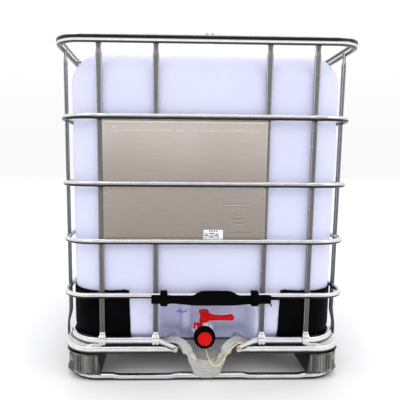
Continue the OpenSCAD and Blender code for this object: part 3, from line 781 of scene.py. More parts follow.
def hex_head(shape, centre, axis, radius, height, washer):
    """A hexagon head on a round washer."""
    shape.lathe([(washer, 0), (washer, 1.2), (washer - 0.8, 1.8), (radius, 1.8)], centre, axis, 40)
    shape.lathe([(radius, 1.5), (radius, height - 1), (radius - 1.2, height), (0.2, height)], centre, axis, 6)


def dome_head(shape, centre, axis, radius, height):
    """A domed head with a small dimple in its middle."""
    turns = spread(0, math.radians(75), math.radians(15))
    rim = [(radius * math.cos(t), height * math.sin(t)) for t in turns]
    dimple = [(radius * 0.2, height * 0.8), (0.2, height * 0.75)]
    shape.lathe([(radius, -0.5)] + rim + dimple, centre, axis, 32)


def add_cage_screws():
    shape = Shape()
    rail_low, rail_high = box_of("top_rail")
    for x in (-9.5, 6.5):
        place = Vector((x, rail_low.y + 0.5, (rail_low.z + rail_high.z) / 2 + 9))
        dome_head(shape, place, FRONT, 5.5, 2.6)
    for _, _, name in ENDS:
        bar_low, bar_high = box_of(f"crossbar_{name}")
        centre = (bar_low + bar_high) / 2
        for side in (-1, 1):
            place = Vector((side * (bar_high.x - 12), centre.y, centre.z + 2.5))
            hex_head(shape, place, UP, 6, 5.5, 8)
    piece("rail_screws", shape, "zinc_fastener", ["cage_screws"])


# ---------- pallet ----------

# Where the runner is flattened for a fork: along X at the ends, along Y at the sides
END_FLATS = [(-308, -111), (146, 343)]
SIDE_FLATS = [(-375, -155), (155, 375)]


def add_runner():
    low, high = box_of("pallet_runner")
    height = high.z - low.z

    def flat_at(point, out):
        """How far the tube is flattened where a fork passes."""
        if abs(out.x) < STRAIGHT:
            zones, place = END_FLATS, point.x
        elif abs(out.y) < STRAIGHT:
            zones, place = SIDE_FLATS, point.y
        else:
            return 0.0
        return max(smooth((place - start) / 26 + 0.5) * smooth((end - place) / 26 + 0.5)
                   for start, end in zones)

    def section_at(point, out):
        flat = flat_at(point, out)
        size = height - 5.5 * flat
        return [(a, b + size / 2) for a, b in oval(24, size, 2.5 + 1.2 * flat, 28)]

    piece("runner_tube", tube(Shape(), loop_path(high.x, high.y, 118), section_at),
          "galvanised_tube", ["pallet_runner"])


FOOT_CORNERS = [(486, 440), (486, 508), (478, 540), (454, 571), (439, 580), (405, 588.5), (368, 589)]
FOOT_SLOT = (468, 556, 66)


def foot_outline(z, bottom, top):
    """Plan of a corner foot at height z, for the corner where both x and y are positive: an outer wall
    of flat panels with pressed grooves, and two inner walls, the one by the fork pocket leaning."""
    t = (z - bottom) / (top - bottom)
    flange = 3.0 * (bump_at(z, top, 3) + bump_at(z, bottom, 3.5))
    lean = 9 * (1 - t)
    points = []
    for (x0, y0), (x1, y1) in zip(FOOT_CORNERS, FOOT_CORNERS[1:]):
        count = round(math.hypot(x1 - x0, y1 - y0) / 9) * 4
        points += [(mix(x0, x1, k / count), mix(y0, y1, k / count)) for k in range(count)]
    points.append(FOOT_CORNERS[-1])
    points = [(x - lean * smooth((400 - x) / 30), y) for x, y in points]
    level = rise(t, 0.07, 0.06) * smooth((0.93 - t) / 0.06)
    slot_x, slot_y, slot_z = FOOT_SLOT
    wall = []
    for x, y in points:
        if x > 380 and y > 478:
            out = Vector((max(0, x - 380), max(0, y - 478), 0)).normalized()
        else:
            out = Vector((1, 0, 0)) if x > 480 else Vector((0, 1, 0))
        groove = 5.5 * (bump_at(x, 400, 4.5) + 0.7 * bump_at(x, 439, 2.5)) * (y > 500)
        panel = 2.0 * rise(x, 371, 6) * smooth((394 - x) / 6) + 2.0 * rise(x, 407, 6) * smooth((434 - x) / 6)
        side = 2.2 * rise(x, 443, 5) * rise(y, 452, 8)
        dx = math.hypot(x - slot_x, y - slot_y) * (1 if x > slot_x else -1) / 15
        slot = 7 * smooth(1.6 - math.hypot(dx, (z - slot_z) / 7)) if x > 448 else 0
        wall.append(Vector((x, y, 0)) + out * (flange - level * (groove + panel + side) - slot))
    inner = [Vector((368 - lean, y, 0)) for y in spread(583, 446, 12)]
    inner += [Vector((mix(372 - lean, 480, k / 9), 440, 0)) for k in range(10)]
    return [Vector((p.x, p.y, z)) for p in wall + inner]


def add_corner_feet():
    for side_x, side_y, corner in CORNERS:
        low, high = box_of(f"corner_foot_{corner}")
        rows = [[Vector((side_x * p.x, side_y * p.y, p.z)) for p in foot_outline(z, low.z, high.z)]
                for z in spread(low.z, high.z, 2.4)]
        # The feet's sheet carries painted highlights and painted shade in bands.
        piece(f"foot_{corner}", Shape().solid(rows), "galvanised_sheet",
              [f"corner_foot_{corner}"], sharp=50, material="foot_sheet")


def add_middle_feet():
    for name in ("left", "right", "rear"):
        low, high = box_of(f"middle_foot_{name}")
        centre = (low + high) / 2
        half = (high - low) / 2
        rows = []
        for z in spread(low.z, high.z, 4):
            t = (z - low.z) / (high.z - low.z)
            spare = 5 * (1 - t) - 3 + 3 * (bump_at(z, high.z, 3) + bump_at(z, low.z, 3.5))
            level = rise(t, 0.08, 0.08) * smooth((0.92 - t) / 0.08)
            row = []
            for point, out in loop_path(half.x - 3, half.y - 3, 12, step=4):
                place = point.y if abs(out.x) > 0.9 else point.x
                rib = 0
                if max(half.x, half.y) - abs(place) > 12:
                    rib = sum(bump_at(place, mark, 4) for mark in (-52, -18, 18, 52)) * level
                row.append(Vector((centre.x, centre.y, z)) + point + out * (0.4 * spare - 4 * rib))
            rows.append(row)
        piece(f"foot_middle_{name}", Shape().solid(rows), "galvanised_sheet",
              [f"middle_foot_{name}"], sharp=50)


# The apron's dish and its raised sides, from the back edge (0) to the chin (1)
APRON_BACK = -472.0
APRON_CHIN = -591.0
DISH_Y = [(0, APRON_BACK), (0.35, -545), (0.58, -582), (0.72, -587), (1, APRON_CHIN)]
DISH_Z = [(0, 98), (0.35, 88), (0.58, 66), (0.72, 46), (1, 12)]
SIDE_YS = [(0, APRON_BACK), (0.3, -553), (0.46, -563), (0.6, -585), (1, APRON_CHIN)]
SIDE_ZS = [(0, 148), (0.3, 145), (0.46, 124), (0.6, 98), (1, 12)]
APRON_HALF = [(0, 128), (0.28, 172), (0.42, 112), (0.54, 86), (0.7, 66), (0.88, 47), (1, 30)]


COLUMN_CLEAR = 92
COLUMN_BLEND = 22


def apron_point(u, v):
    """A point of the apron: u runs across from -1 to 1, v from the back edge down to the chin."""
    across = u * along(APRON_HALF, v)
    beside_column = rise(abs(across), COLUMN_CLEAR * (1 - rise(v, 0.25, 0.2)), COLUMN_BLEND)
    side = smooth((abs(u) - 0.34) / 0.28) * beside_column
    x = GAP_X + across
    y = mix(along(DISH_Y, v), along(SIDE_YS, v), side)
    z = mix(along(DISH_Z, v), along(SIDE_ZS, v), side)
    z -= 24 * smooth((abs(u) - 0.62) / 0.38) * smooth((0.46 - v) / 0.2)
    z += 9 * abs(u) ** 5 * smooth((v - 0.85) / 0.15)
    ring = math.hypot((x - 2) / 62, (z - 106) / 36)
    facing = smooth((-y - 560) / 20) * smooth((112 - z) / 8)
    y -= 3.4 * bump_at(ring, 1, 0.055) * facing
    y += 5 * smooth((0.95 - ring) / 0.25) * facing
    y -= 1.6 * bump_at(ring, 1.32, 0.05) * facing
    y += 2.2 * bump_at(z, 43 - 4 * bump_at(x, GAP_X, 25), 2.6)
    y -= 2.0 * smooth((abs(u) - 0.93) / 0.05) * smooth((v - 0.5) / 0.1)
    shelf = smooth((0.3 - v) / 0.1) * side
    z -= 7 * shelf * smooth(1.7 - math.hypot((x + 117) / 6, (y + 540) / 5))
    return Vector((x, y, z))


def add_apron():
    rows = [[apron_point(u, v) for u in spread(-1, 1, 0.0125)] for v in spread(0, 1, 0.008)]
    # The apron's sheet is a lighter copy of the galvanised sheet: painted light.
    piece("apron_pressing", Shape().sheet(rows, Vector((0, 1.2, -1.6))), "galvanised_sheet", ["drain_apron"],
          sharp=60, material="apron_sheet")


def add_corner_webs():
    """Creased sheet between the base rail and the tray rim at each corner."""
    rim = box_of("tray_rim")[1]
    base = box_of("cage_base_rail")[1]
    for side_x, side_y, corner in CORNERS:
        rows = []
        for t in spread(0, 1, 0.1):
            line = []
            for turn in spread(math.radians(-14), math.radians(104), math.radians(2.4)):
                out = heading(turn)
                inner = Vector((base.x - 125, base.y - 125, 131)) + out * 122
                outer = Vector((rim.x - 100, rim.y - 100, 121)) + out * 95
                point = inner.lerp(outer, t)
                crease = abs(math.sin(turn * 9 + 2.2 * math.sin(turn * 3.1))) - 0.5
                point.z += 5.5 * crease * math.sin(math.pi * t) + 3 * math.sin(math.pi * t)
                line.append(Vector((point.x * side_x, point.y * side_y, point.z)))
            rows.append(line)
        # The bright sheet is a lighter copy of the galvanised sheet: painted light.
        piece(f"corner_web_{corner}", Shape().sheet(rows, Vector((0, 0, -1.5))), "galvanised_sheet",
              sharp=20, material="bright_sheet")


def add_pallet_bolts():
    shape = Shape()
    for side_x in (-1, 1):
        for side_y in (-1, 1):
            for x, y in ((471, 454), (382, 575)):
                hex_head(shape, Vector((side_x * x, side_y * y, 24)), UP, 5, 5, 7)
    dome_head(shape, Vector((GAP_X - 3, APRON_CHIN - 0.6, 27)), FRONT, 6, 3.2)
    for x in (-102, 118):
        hex_head(shape, Vector((x, -592.5, 113)), FRONT, 5.5, 5, 8)
    piece("pallet_fasteners", shape, "zinc_fastener", ["pallet_bolts"])


# ---------- bottle ----------

BOTTLE_R = 105.0
BOTTLE_FOOT = 85.0
NICHE_DEPTH = 92.0
NICHE_HALF = 176.0
COLUMN_X = -60.0
SIDE_BULGE = 12.0


def bottle_half():
    low, high = box_of("bottle")
    return Vector((high.x, high.y, 0)), low.z


BOTTLE_HALF, BOTTLE_LOW = bottle_half()
BOTTLE_TOP = 1118.0


def shoulder_inset(z):
    """How far the bottle's sides have drawn in at height z, near its foot and its shoulder."""
    if z < BOTTLE_LOW + BOTTLE_FOOT:
        t = (BOTTLE_LOW + BOTTLE_FOOT - z) / BOTTLE_FOOT
    elif z > BOTTLE_TOP - BOTTLE_R:
        t = (z - BOTTLE_TOP + BOTTLE_R) / BOTTLE_R
    else:
        return 0.0
    return BOTTLE_R * (1 - math.sqrt(max(0.0, 1 - min(1.0, t) ** 2)))


def niche_at(x, z):
    """Depth of the valve niche behind the bottle's front face."""
    aside = abs(x - GAP_X)
    lid = 298 + 20 * math.exp(-((x - 10) / 82) ** 2) - 34 * (aside / NICHE_HALF) ** 4
    opening = smooth((NICHE_HALF - aside) / 24) * smooth((lid - z) / 62)
    off = (x - COLUMN_X) / 21
    column = 0.0
    if abs(off) < 1:
        column = (6 + 21 * math.sqrt(1 - off * off)) * smooth((1 - abs(off)) / 0.2) * smooth((262 - z) / 16)
    return NICHE_DEPTH * opening - column * opening


def bottle_point(p):
    """Carry a point of the plain box to the rounded bottle, with its niche, panels and slack."""
    inner = Vector((min(max(p.x, BOTTLE_R - BOTTLE_HALF.x), BOTTLE_HALF.x - BOTTLE_R),
                    min(max(p.y, BOTTLE_R - BOTTLE_HALF.y), BOTTLE_HALF.y - BOTTLE_R),
                    min(max(p.z, BOTTLE_LOW + BOTTLE_FOOT), BOTTLE_TOP - BOTTLE_R)))
    rise = BOTTLE_FOOT if p.z < inner.z else BOTTLE_R
    away = Vector(((p.x - inner.x) / BOTTLE_R, (p.y - inner.y) / BOTTLE_R, (p.z - inner.z) / rise))
    length = away.length
    if length > 0:
        away /= length
    point = inner + Vector((away.x * BOTTLE_R, away.y * BOTTLE_R, away.z * rise))
    slack = 1.6 * noise.noise(point * 0.006) + 0.8
    waist = sum(1.8 * bump_at(point.z, ring, 24) for ring in RING_Z)
    level = Vector((away.x, away.y, 0))
    point -= level * max(0.0, slack + waist) * (1 if abs(away.z) < 0.5 else 0)
    bulge = SIDE_BULGE * smooth((abs(away.x) - 0.9) / 0.1) * smooth((BOTTLE_HALF.y - 130 - abs(point.y)) / 60)
    for post in SIDE_Y:
        bulge *= smooth((abs(point.y - post) - 16) / 45)
    upright_part = smooth((point.z - BOTTLE_LOW - 110) / 120) * smooth((BOTTLE_TOP - BOTTLE_R - point.z) / 60)
    point.x += math.copysign(bulge * upright_part, away.x)
    if point.y < 0:
        reach = smooth((-point.y - (BOTTLE_HALF.y - 118)) / 96)
        point.y += niche_at(point.x, point.z) * reach
    return point


def rounded_marks(half_low, half_high, radius_low, radius_high, fine=()):
    """Places along one side of the box: close together in its round ends and in the fine stretches."""
    marks = {half_low, half_high}
    for k in range(1, 10):
        marks.add(half_low + radius_low * (1 - math.tan(math.radians(5 * k))))
        marks.add(half_high - radius_high * (1 - math.tan(math.radians(5 * k))))
    marks.update(spread(half_low + radius_low, half_high - radius_high, 24))
    for start, end, step in fine:
        marks = {m for m in marks if m <= start or m >= end} | set(spread(start, end, step))
    places = sorted(marks)
    kept = [places[0]]
    for mark in places[1:-1]:
        if mark - kept[-1] > 1.4 and places[-1] - mark > 1.4:
            kept.append(mark)
    return kept + [places[-1]]


def add_bottle():
    hx, hy = BOTTLE_HALF.x, BOTTLE_HALF.y
    xs = rounded_marks(-hx, hx, BOTTLE_R, BOTTLE_R, [(GAP_X - 200, GAP_X + 200, 5), (-86, -34, 2.6)])
    ys = rounded_marks(-hy, hy, BOTTLE_R, BOTTLE_R)
    zs = rounded_marks(BOTTLE_LOW, BOTTLE_TOP, BOTTLE_FOOT, BOTTLE_R, [(108, 372, 5)])
    shape = Shape()
    for y in (-hy, hy):
        shape.grid([[bottle_point(Vector((x, y, z))) for x in xs] for z in zs])
    for x in (-hx, hx):
        shape.grid([[bottle_point(Vector((x, y, z))) for y in ys] for z in zs])
    for z in (BOTTLE_LOW, BOTTLE_TOP):
        shape.grid([[bottle_point(Vector((x, y, z))) for x in xs] for y in ys])
    neck_high = box_of("bottle")[1].z
    shape.lathe([(96, BOTTLE_TOP - 3), (92, BOTTLE_TOP + 1.5), (82, BOTTLE_TOP + 3), (78, BOTTLE_TOP + 5),
                 (78, BOTTLE_TOP + 9), (77, BOTTLE_TOP + 12), (78, BOTTLE_TOP + 15), (78, neck_high - 1),
                 (77, neck_high), (73, neck_high), (73, BOTTLE_TOP - 3)], Vector(), UP, 96)
    outlet = middle("valve_body")
    outlet.z = middle("outlet_cap").z
    shape.lathe([(44, -467), (36, -474), (31, -480), (30, -500), (25, -500), (25, -467)],
                Vector((0, 0, outlet.z)), Vector((0, 1, 0)), 64)
    piece("bottle_shell", shape, "natural_hdpe", ["bottle"], sharp=75)


def add_pen_strokes():
    """Short blue marks, rising to the right, on the niche's wall."""
    shape = Shape()
    strokes = [((0, 0), (7, 9)), ((7, 9), (9, 1)), ((9, 1), (17, 12)), ((17, 12), (20, 5)),
               ((20, 5), (28, 15)),
               ((28, 15), (30, 10)), ((30, 10), (41, 23))]
    for (x0, z0), (x1, z1) in strokes:
        start, end = Vector((x0 - 96, 0, z0 + 204)), Vector((x1 - 96, 0, z1 + 204))
        normal = (end - start).cross(Vector((0, 1, 0))).normalized() * 1.3
        row = []
        for t in spread(0, 1, 0.25):
            point = start.lerp(end, t)
            depth = -BOTTLE_HALF.y + niche_at(point.x, point.z) - 3.0
            row.append(Vector((point.x, depth, point.z)))
        shape.sheet([[p + normal for p in row], [p - normal for p in row]], Vector((0, 0.5, 0)))
    piece("pen_strokes", shape, "sticker", material="blue_ink")


# ---------- corner protectors ----------

PROTECTOR_THICK = 2.4


def protector_line(z, gap):
    """Horizontal line that follows the bottle's corner at height z, a small gap off it."""
    inset = shoulder_inset(z)
    half_x, half_y, radius = (size - inset + gap for size in (BOTTLE_HALF.x, BOTTLE_HALF.y, BOTTLE_R))
    reach_x, reach_y = 257 + (z - 150) * 0.034, 336
    line = [Vector((mix(reach_x, half_x - radius, k / 12), half_y, z)) for k in range(12)]
    for turn in [math.radians(90 - 6 * k) for k in range(16)]:
        line.append(Vector((half_x - radius, half_y - radius, z)) + heading(turn) * radius)
    line += [Vector((half_x, mix(half_y - radius, reach_y, k / 14), z)) for k in range(1, 15)]
    return line


def add_protectors():
    for side_x, side_y, corner in CORNERS:
        low, high = box_of(f"corner_protector_{corner}")
        outer = []
        for t in spread(0, 1, 0.03):
            z = mix(low.z - 8, high.z - 1.5, t)
            moved = []
            for k, p in enumerate(protector_line(z, 1.2 + PROTECTOR_THICK)):
                travel = 9 * k
                nub = sum(bump_at(travel, mark, 5) for mark in (18, 90, 200, 320))
                wave = 1.2 * math.sin(travel * 0.045) + 3.2 * min(1, nub)
                ragged = 1.6 * noise.noise(Vector((0, t * 9, side_x * 3))) if k == 0 else 0
                moved.append(Vector((side_x * (p.x + ragged), side_y * p.y, p.z + wave * rise(t, 0.8, 0.2))))
            outer.append(moved)
        shape = Shape().sheet(outer, lambda p: Vector((-p.x / 150, -p.y / 190, 0)) * 0.75)
        piece(f"bumper_{corner}", shape, "black_plastic", [f"corner_protector_{corner}"], sharp=60)


# ---------- guard bar ----------

def add_guard_bar():
    low, high = box_of("guard_bar")
    bar_end = 222
    rows = []
    for x in spread(low.x, bar_end, 3):
        lump = smooth((x + 50) / 44) * smooth((120 - x) / 44)
        belly = smooth((x + 130) / 110) * smooth((190 - x) / 110)
        top = 307.5 + 14 * lump + 1.5 * smooth((-118 - x) / 6) + 1.5 * smooth((x - 150) / 6)
        bottom = 279 - 8 * belly - 1.5 * smooth((-118 - x) / 6) - 1.5 * smooth((x - 150) / 6)
        end = smooth((x - low.x) / 5) * smooth((bar_end - x) / 5)
        height = (top - bottom) * (0.9 + 0.1 * end)
        section = oval(20 + 2 * end, height, 3.4, 32)
        rows.append([Vector((x, low.y + 0.6 - a + 1.8 * (1 - lump) * bump_at(b, 2, 3.5) * (a > -9)
                             + 0.9 * lump * bump_at(b, -3, 9) * (a > -9), (top + bottom) / 2 + b))
                     for a, b in section])
    shape = Shape().solid(rows)
    tail = []
    for t in spread(0, 1, 0.06):
        x = mix(216, high.x + 2, t)
        size = mix(11, 3.5, smooth(t * 1.1))
        tail.append([Vector((x, low.y + 4 - a, 299 - 7 * t + b))
                     for a, b in oval(14 - 6 * t, size * 1.4, 2.4, 20)])
    shape.solid(tail)
    droop = []
    for t in spread(0, 1, 0.1):
        droop.append([Vector((mix(214, 226, t), low.y + 3 - a, mix(288, 270, t) + b))
                      for a, b in oval(12 - 4 * t, 12 - 6 * t, 2.4, 16)])
    shape.solid(droop)
    piece("guard_grip", shape, "black_plastic", ["guard_bar"], sharp=50)


def add_guard_clamps():
    low = box_of("guard_clamps")[0]
    shape = Shape()
    body = [(-13, 274), (-13, 312), (-11, 321), (11, 321), (13, 312), (13, 274), (9, 271), (-9, 271)]
    boss = [(-7, 281), (-7, 303), (7, 303), (7, 281)]
    for x in (-142, 167):
        for outline, out, depth in ((body, 0.2, 24), (boss, 1.6, 4)):
            shape.prism([(x + a, z) for a, z in outline], lambda a, b: Vector((a, low.y - out, b)),
                        Vector((0, depth, 0)))
    piece("grip_clamps", shape, "black_plastic", ["guard_clamps"], bevel=1.2)


# ---------- label plate and sticker ----------

def ridge(distance, half=1.1):
    """Height of a pressed line at a distance from its middle."""
    return math.exp(-(distance / half) ** 2)


# Pressed figures of the plate: a round mark, a row of bars, and a square panel. Places are (x, z)
PLATE_MARK = (-301, 861)
PLATE_BARS = (-284, 168, 861)
BAR_PITCH = 9.0
PLATE_PANEL = (103.5, 567)
PANEL_HALF = 49
LUG_Z = 664


def plate_relief(x, z, low, high):
    """Outward height of the pressing on the label plate."""
    from_mark = math.hypot(x - PLATE_MARK[0], z - PLATE_MARK[1])
    height = 1.2 * ridge(abs(from_mark - 8), 1.3)
    height += 0.9 * ridge(from_mark, 2.4)
    start, end, level = PLATE_BARS
    if abs(z - level) < 8 and start < x < end:
        cell, inside = divmod(x - start, BAR_PITCH)
        tall = 0.5 + 0.5 * noise.noise(Vector((cell * 1.7, 3.1, 0)))
        if noise.noise(Vector((cell * 0.9, 8.2, 0.5))) > -0.32:
            bar = ridge(inside - BAR_PITCH / 2, 2.1) * rise(z, level - 6, 3)
            height += 1.1 * bar * smooth((level + 6 * tall - z) / 3)
    middle_x, middle_z = PLATE_PANEL
    square = max(abs(x - middle_x), abs(z - middle_z))
    height += 1.1 * ridge(square - PANEL_HALF, 1.5)
    height -= 0.5 * smooth((PANEL_HALF - square) / 3)
    if square < PANEL_HALF - 3:
        for bar_z, half in ((564, 22), (551, 18)):
            height += 1.2 * ridge(z - bar_z, 2.6) * smooth((half - abs(x - 105)) / 3)
        height += 1.0 * ridge(abs(math.hypot(x - 105, z - 584) - 7), 1.4)
        if abs(z - 602) < 6:
            ticks = ridge((x - 60) % 11 - 5.5, 2.4) * smooth((44 - abs(x - 103)) / 3)
            height += 0.9 * ticks * ridge(z - 602, 4)
    for edge, way in ((low.x, 1), (high.x, -1)):
        lug = math.hypot(x - edge - way * 14, z - LUG_Z)
        height += 1.6 * ridge(lug - 10, 1.6) + 1.0 * ridge(lug, 5)
    border = min(x - low.x, high.x - x, z - low.z, high.z - z)
    height += 1.0 * ridge(border - 7, 1.6)
    height += 1.2 * noise.noise(Vector((x * 0.006, z * 0.007, 4)))
    return height


def add_label_plate():
    low, high = box_of("label_plate")
    face = box_of("cage_ring_3")[0].y + 15
    rows = []
    for z in spread(low.z, high.z, 2.0):
        rows.append([Vector((x, face - 0.9 - plate_relief(x, z, low, high), z))
                     for x in spread(low.x, high.x, 2.0)])
    shape = Shape().sheet(rows, Vector((0, 0.9, 0)))
    piece("name_plate", shape, "label_sheet", ["label_plate"], sharp=60)


def add_sticker_print():
    low, high = box_of("content_sticker")
    y = low.y - 2.6
    width, height = high.x - low.x, high.z - low.z
    film = Shape().sheet([[Vector((x, y - 0.6 * math.sin(x * 0.06), z)) for x in spread(low.x, high.x, 4)]
                          for z in spread(low.z, high.z, 4)], Vector((0, 0.4, 0)))
    piece("label_film", film, "sticker", ["content_sticker"])
    ink = Shape()

    def bar(x0, x1, z0, z1):
        ink.sheet([[Vector((low.x + x, y - 0.25 - 0.6 * math.sin((low.x + x) * 0.06), low.z + z))
                    for x in spread(x0, x1, 4)] for z in (z0, z1)], Vector((0, 0.2, 0)))

    for z0, z1 in ((0.5, 2.8), (height - 2.8, height - 0.5)):
        bar(0.5, width - 0.5, z0, z1)
    for x0, x1 in ((0.5, 2.8), (width - 2.8, width - 0.5)):
        bar(x0, x1, 2.8, height - 2.8)
    for x in (22, 30, 38, 46):
        bar(x, x + 4.5, height - 10, height - 5.5)
    for line, (z, lengths) in enumerate(((19, (10, 16, 9)), (13, (14, 7, 15)), (7.5, (8, 18, 12)))):
        x = 7.0
        for k, length in enumerate(lengths):
            bar(x, x + length, z, z + (3.4 if (k + line) % 2 else 2.2))
            x += length + 5.5
    piece("label_print", ink, "sticker", material="navy_ink")


# ---------- lid ----------

def add_lid():
    low, high = box_of("filler_lid")
    radius = 91.5
    floor = high.z - 8
    foot, top_ring = low.z, floor - 3.5
    teeth = lambda t: radius - 2.6 * (0.5 + 0.5 * math.cos(t * 36)) ** 3
    shape = Shape()
    shape.lathe([(80.2, foot), (radius - 2, foot), (radius, foot + 2), (radius, foot + 4),
                 (teeth, foot + 5.5), (teeth, top_ring), (radius - 1, floor - 2), (radius - 4, floor),
                 (82, floor), (80, top_ring), (30, top_ring), (28, floor - 1), (26, floor - 0.4),
                 (0.3, floor - 0.4)], Vector(), UP, 288)
    for k in range(6):
        turn = math.radians(60 * k)
        across, beside = heading(turn), Vector((-math.sin(turn), math.cos(turn), 0))
        rows = []
        for r in spread(24, 80, 4):
            top = mix(high.z - 1, floor + 2.5, rise(r, 60, 20))
            section = ((-4.5, floor - 4), (-3.2, top - 1), (-2.2, top),
                       (2.2, top), (3.2, top - 1), (4.5, floor - 4))
            rows.append([across * r + beside * b + UP * z for b, z in section])
        shape.solid(rows)
    piece("screw_lid", shape, "lid_red", ["filler_lid"], body=BODY_OF["filler_lid"], sharp=35)


# ---------- outlet valve ----------

CAP_RIBS = 24


def add_cap():
    low, high = box_of("outlet_cap")
    centre = Vector((0, 0, (low.z + high.z) / 2))
    outer = (high.z - low.z) / 2
    back, front = -high.y, -low.y
    ribs = lambda t: outer - 2.8 * (0.5 - 0.5 * math.cos(t * CAP_RIBS)) ** 0.8
    shape = Shape()
    shape.lathe([(30.6, back), (outer - 1.4, back), (outer - 0.6, back + 1.5), (ribs, back + 3),
                 (ribs, front - 6), (lambda t: ribs(t) - 1.2, front - 3), (outer - 4.2, front - 0.8),
                 (outer - 6, front), (28.6, front), (27.4, front - 1.2), (25.2, front - 1.6),
                 (25, front - 2.6), (24, front - 3), (0.3, front - 3)], centre, FRONT, CAP_RIBS * 12)
    for k in range(6):
        turn = math.radians(60 * k + 14)
        spot = centre + Vector((math.cos(turn), 0, math.sin(turn))) * (outer - 3.4) + FRONT * (front - 4)
        shape.lathe([(3.4, -8), (3.4, 1.2), (2.6, 2.4), (0.2, 2.8)], spot, FRONT, 20)
    piece("ribbed_cap", shape, "black_plastic", ["outlet_cap"], body=BODY_OF["outlet_cap"], sharp=40)
    disc = Shape()
    disc.lathe([(24.6, front - 2.6), (24.6, front - 0.9), (23.6, front - 0.2), (21.4, front - 0.1),
                (20.6, front - 0.9), (19.6, front - 0.2), (12, front + 0.3), (0.3, front + 0.5)],
               centre, FRONT, 96)
    piece("seal_button", disc, "red_plastic", ["cap_seal_disc"],
          body=BODY_OF["cap_seal_disc"], sharp=50)


def lever_blade(end):
    """Rows of the lever's blade, from the hub out to its end, about the stem's axis and the hub's foot."""
    rows = []
    for x in spread(6, end - 0.5, 2.4):
        tip = max(0.0, (x - (end - 12)) / 12)
        top = 34 - 9.5 * rise(x, 12, 24) - 2.4 * math.sin(math.pi * min(1, max(0, (x - 34) / 60)))
        top += 1.5 * bump_at(x, end - 12, 9)
        bottom = 2.5 + 1.5 * math.sin(math.pi * min(1, max(0, (x - 14) / 90)))
        round_off = 1 - math.sqrt(max(0.02, 1 - min(1, tip) ** 2.4))
        size = (top - bottom) * (1 - round_off)
        thick = 12.5 - 2 * rise(x, 12, 30)
        groove = 1.6 * rise(x, 44, 6) * smooth((end - 14 - x) / 6)
        rows.append([Vector((x, -thick / 2 - a + groove * bump_at(b, 0, size * 0.24) * (a > -thick / 2),
                             (top + bottom) / 2 + b)) for a, b in oval(thick, size, 4.2, 32)])
    return rows


def add_lever():
    low, high = box_of("valve_lever")
    stem = middle("valve_stem")
    foot = Vector((stem.x, stem.y, low.z))
    shape = Shape()
    shape.lathe([(15.2, 0), (15.8, 2), (13.8, 6), (13.2, 22), (14.4, 29), (17.6, 33), (18, 38), (16.8, 39.6),
                 (9, 40), (8, 38.2), (0.3, 38.2)], foot, UP, 48)
    for level, size in ((4, 17.2), (33, 18.4)):
        collar = [(size - 1.4, level - 1.2), (size, level), (size, level + 1.6), (size - 1.4, level + 2.6)]
        shape.lathe(collar, foot, UP, 6, start=0.3)
    shape.solid([[foot + point for point in row] for row in lever_blade(high.x)])
    piece("turn_lever", shape, "red_plastic", ["valve_lever"],
          body=BODY_OF["valve_lever"], sharp=45)
    stem_low, stem_high = box_of("valve_stem")
    rod = Shape().lathe([(4.9, stem_low.z), (4.9, stem_high.z - 1), (3.8, stem_high.z)],
                        Vector((stem.x, stem.y, 0)), UP, 32)
    piece("stem_rod", rod, "black_plastic", ["valve_stem"], body=BODY_OF["valve_stem"])


CATCH_PIVOT = (-12, 189.5)


def add_catch():
    low, high = box_of("lever_catch")
    pivot_x, pivot_z = CATCH_PIVOT
    outline = [(6, -1), (6, 4), (1, 7), (-22, 7.5), (-25, 5), (-25.5, -12), (-23, -14), (-18.5, -14.5),
               (-16.5, -11), (-18.5, -8), (-18.5, -2), (-14, -1.5), (-13.5, -9), (-10, -10.5), (-6, -9.5),
               (-5.5, -4), (-1, -6), (4, -5)]
    shape = Shape().prism([(pivot_x + a, pivot_z + b) for a, b in outline],
                          lambda a, b: Vector((a, low.y, b)), Vector((0, high.y - low.y, 0)))
    dome_head(shape, Vector((pivot_x, low.y, pivot_z)), FRONT, 3.4, 1.4)
    piece("catch_hook", shape, "red_plastic", ["lever_catch"],
          body=BODY_OF["lever_catch"], bevel=0.9)


NUT_BORE = 31.4
NUT_RADIUS = 35


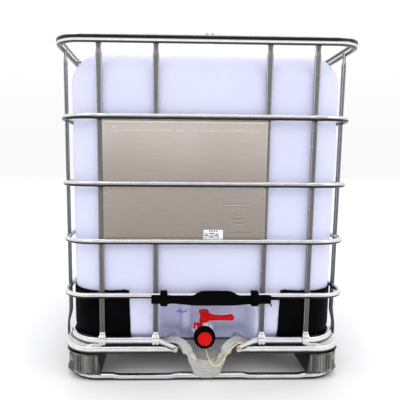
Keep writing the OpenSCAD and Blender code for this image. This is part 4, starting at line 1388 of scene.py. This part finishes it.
def add_nut():
    low, high = box_of("union_nut")
    back, front = -high.y, -low.y
    centre = Vector((0, 0, middle("outlet_cap").z))
    lugs = lambda t: 34.5 + 4.2 * max(0.0, math.cos(t * 8)) ** 3
    shape = Shape().lathe([(NUT_BORE, back), (NUT_RADIUS, back), (lugs, back + 3), (lugs, front - 3),
                           (NUT_RADIUS, front), (NUT_BORE, front)], centre, FRONT, 192)
    piece("collar_nut", shape, "valve_white", ["union_nut"], sharp=45)


def add_terminals():
    """The eyelet under the cap, the washer and screw on the rail's end, and a sleeve on each end."""
    cap_end, rail_screw = Vector((4, -556, 114)), Vector((139, -583.5, 127))
    shape = Shape()
    shape.lathe([(3.6, 0), (3.6, 3.4), (2.9, 4)], cap_end + UP * 2.5, UP, 24)
    shape.lathe([(7.6, 0), (7.6, 1.4), (7, 1.8), (4, 1.8)], rail_screw, FRONT, 32)
    dome_head(shape, rail_screw + FRONT * 1.8, FRONT, 4.4, 2.6)
    sleeve = 3.1
    for point in (Vector((135, -586, 129)), cap_end):
        shape.lathe([(sleeve, -2.5), (sleeve, 2.5), (sleeve - 0.8, 3)], point, UP, 20)
    piece("lead_ends", shape, "zinc_fastener", ["cable_terminals"])


# ---------- CAD nodes that keep their own shape ----------

def give_cad_materials():
    for row in frame["record"]["subparts"]:
        node = frame["nodes"][row["node"]]
        for slot in node.material_slots:
            slot.material = MATERIALS[row["material_slot"]]


add_camera()
add_earth_cable()
add_world()
add_lights()
add_floor()

for ring in range(1, 5):
    add_ring(ring)
add_top_rail()
add_end_uprights()
add_side_uprights()
add_claws()
add_open_rail("base_rail_tube", "cage_base_rail", radius=122, height_mid=138, end_x=-94, dip_from=-172,
              drop=27, flatten=0.62, lift_out=8, power=2.7)
add_open_rail("tray_rim_tube", "tray_rim", radius=100, height_mid=111, end_x=-100, dip_from=-150,
              drop=5, flatten=0.45, lift_out=-5, power=2.7)
add_crossbars()
add_cage_screws()
add_runner()
add_corner_feet()
add_middle_feet()
add_apron()
add_corner_webs()
add_pallet_bolts()
add_bottle()
add_pen_strokes()
add_protectors()
add_guard_bar()
add_guard_clamps()
add_label_plate()
add_sticker_print()
add_lid()
add_cap()
add_lever()
add_catch()
add_nut()
add_terminals()
give_cad_materials()
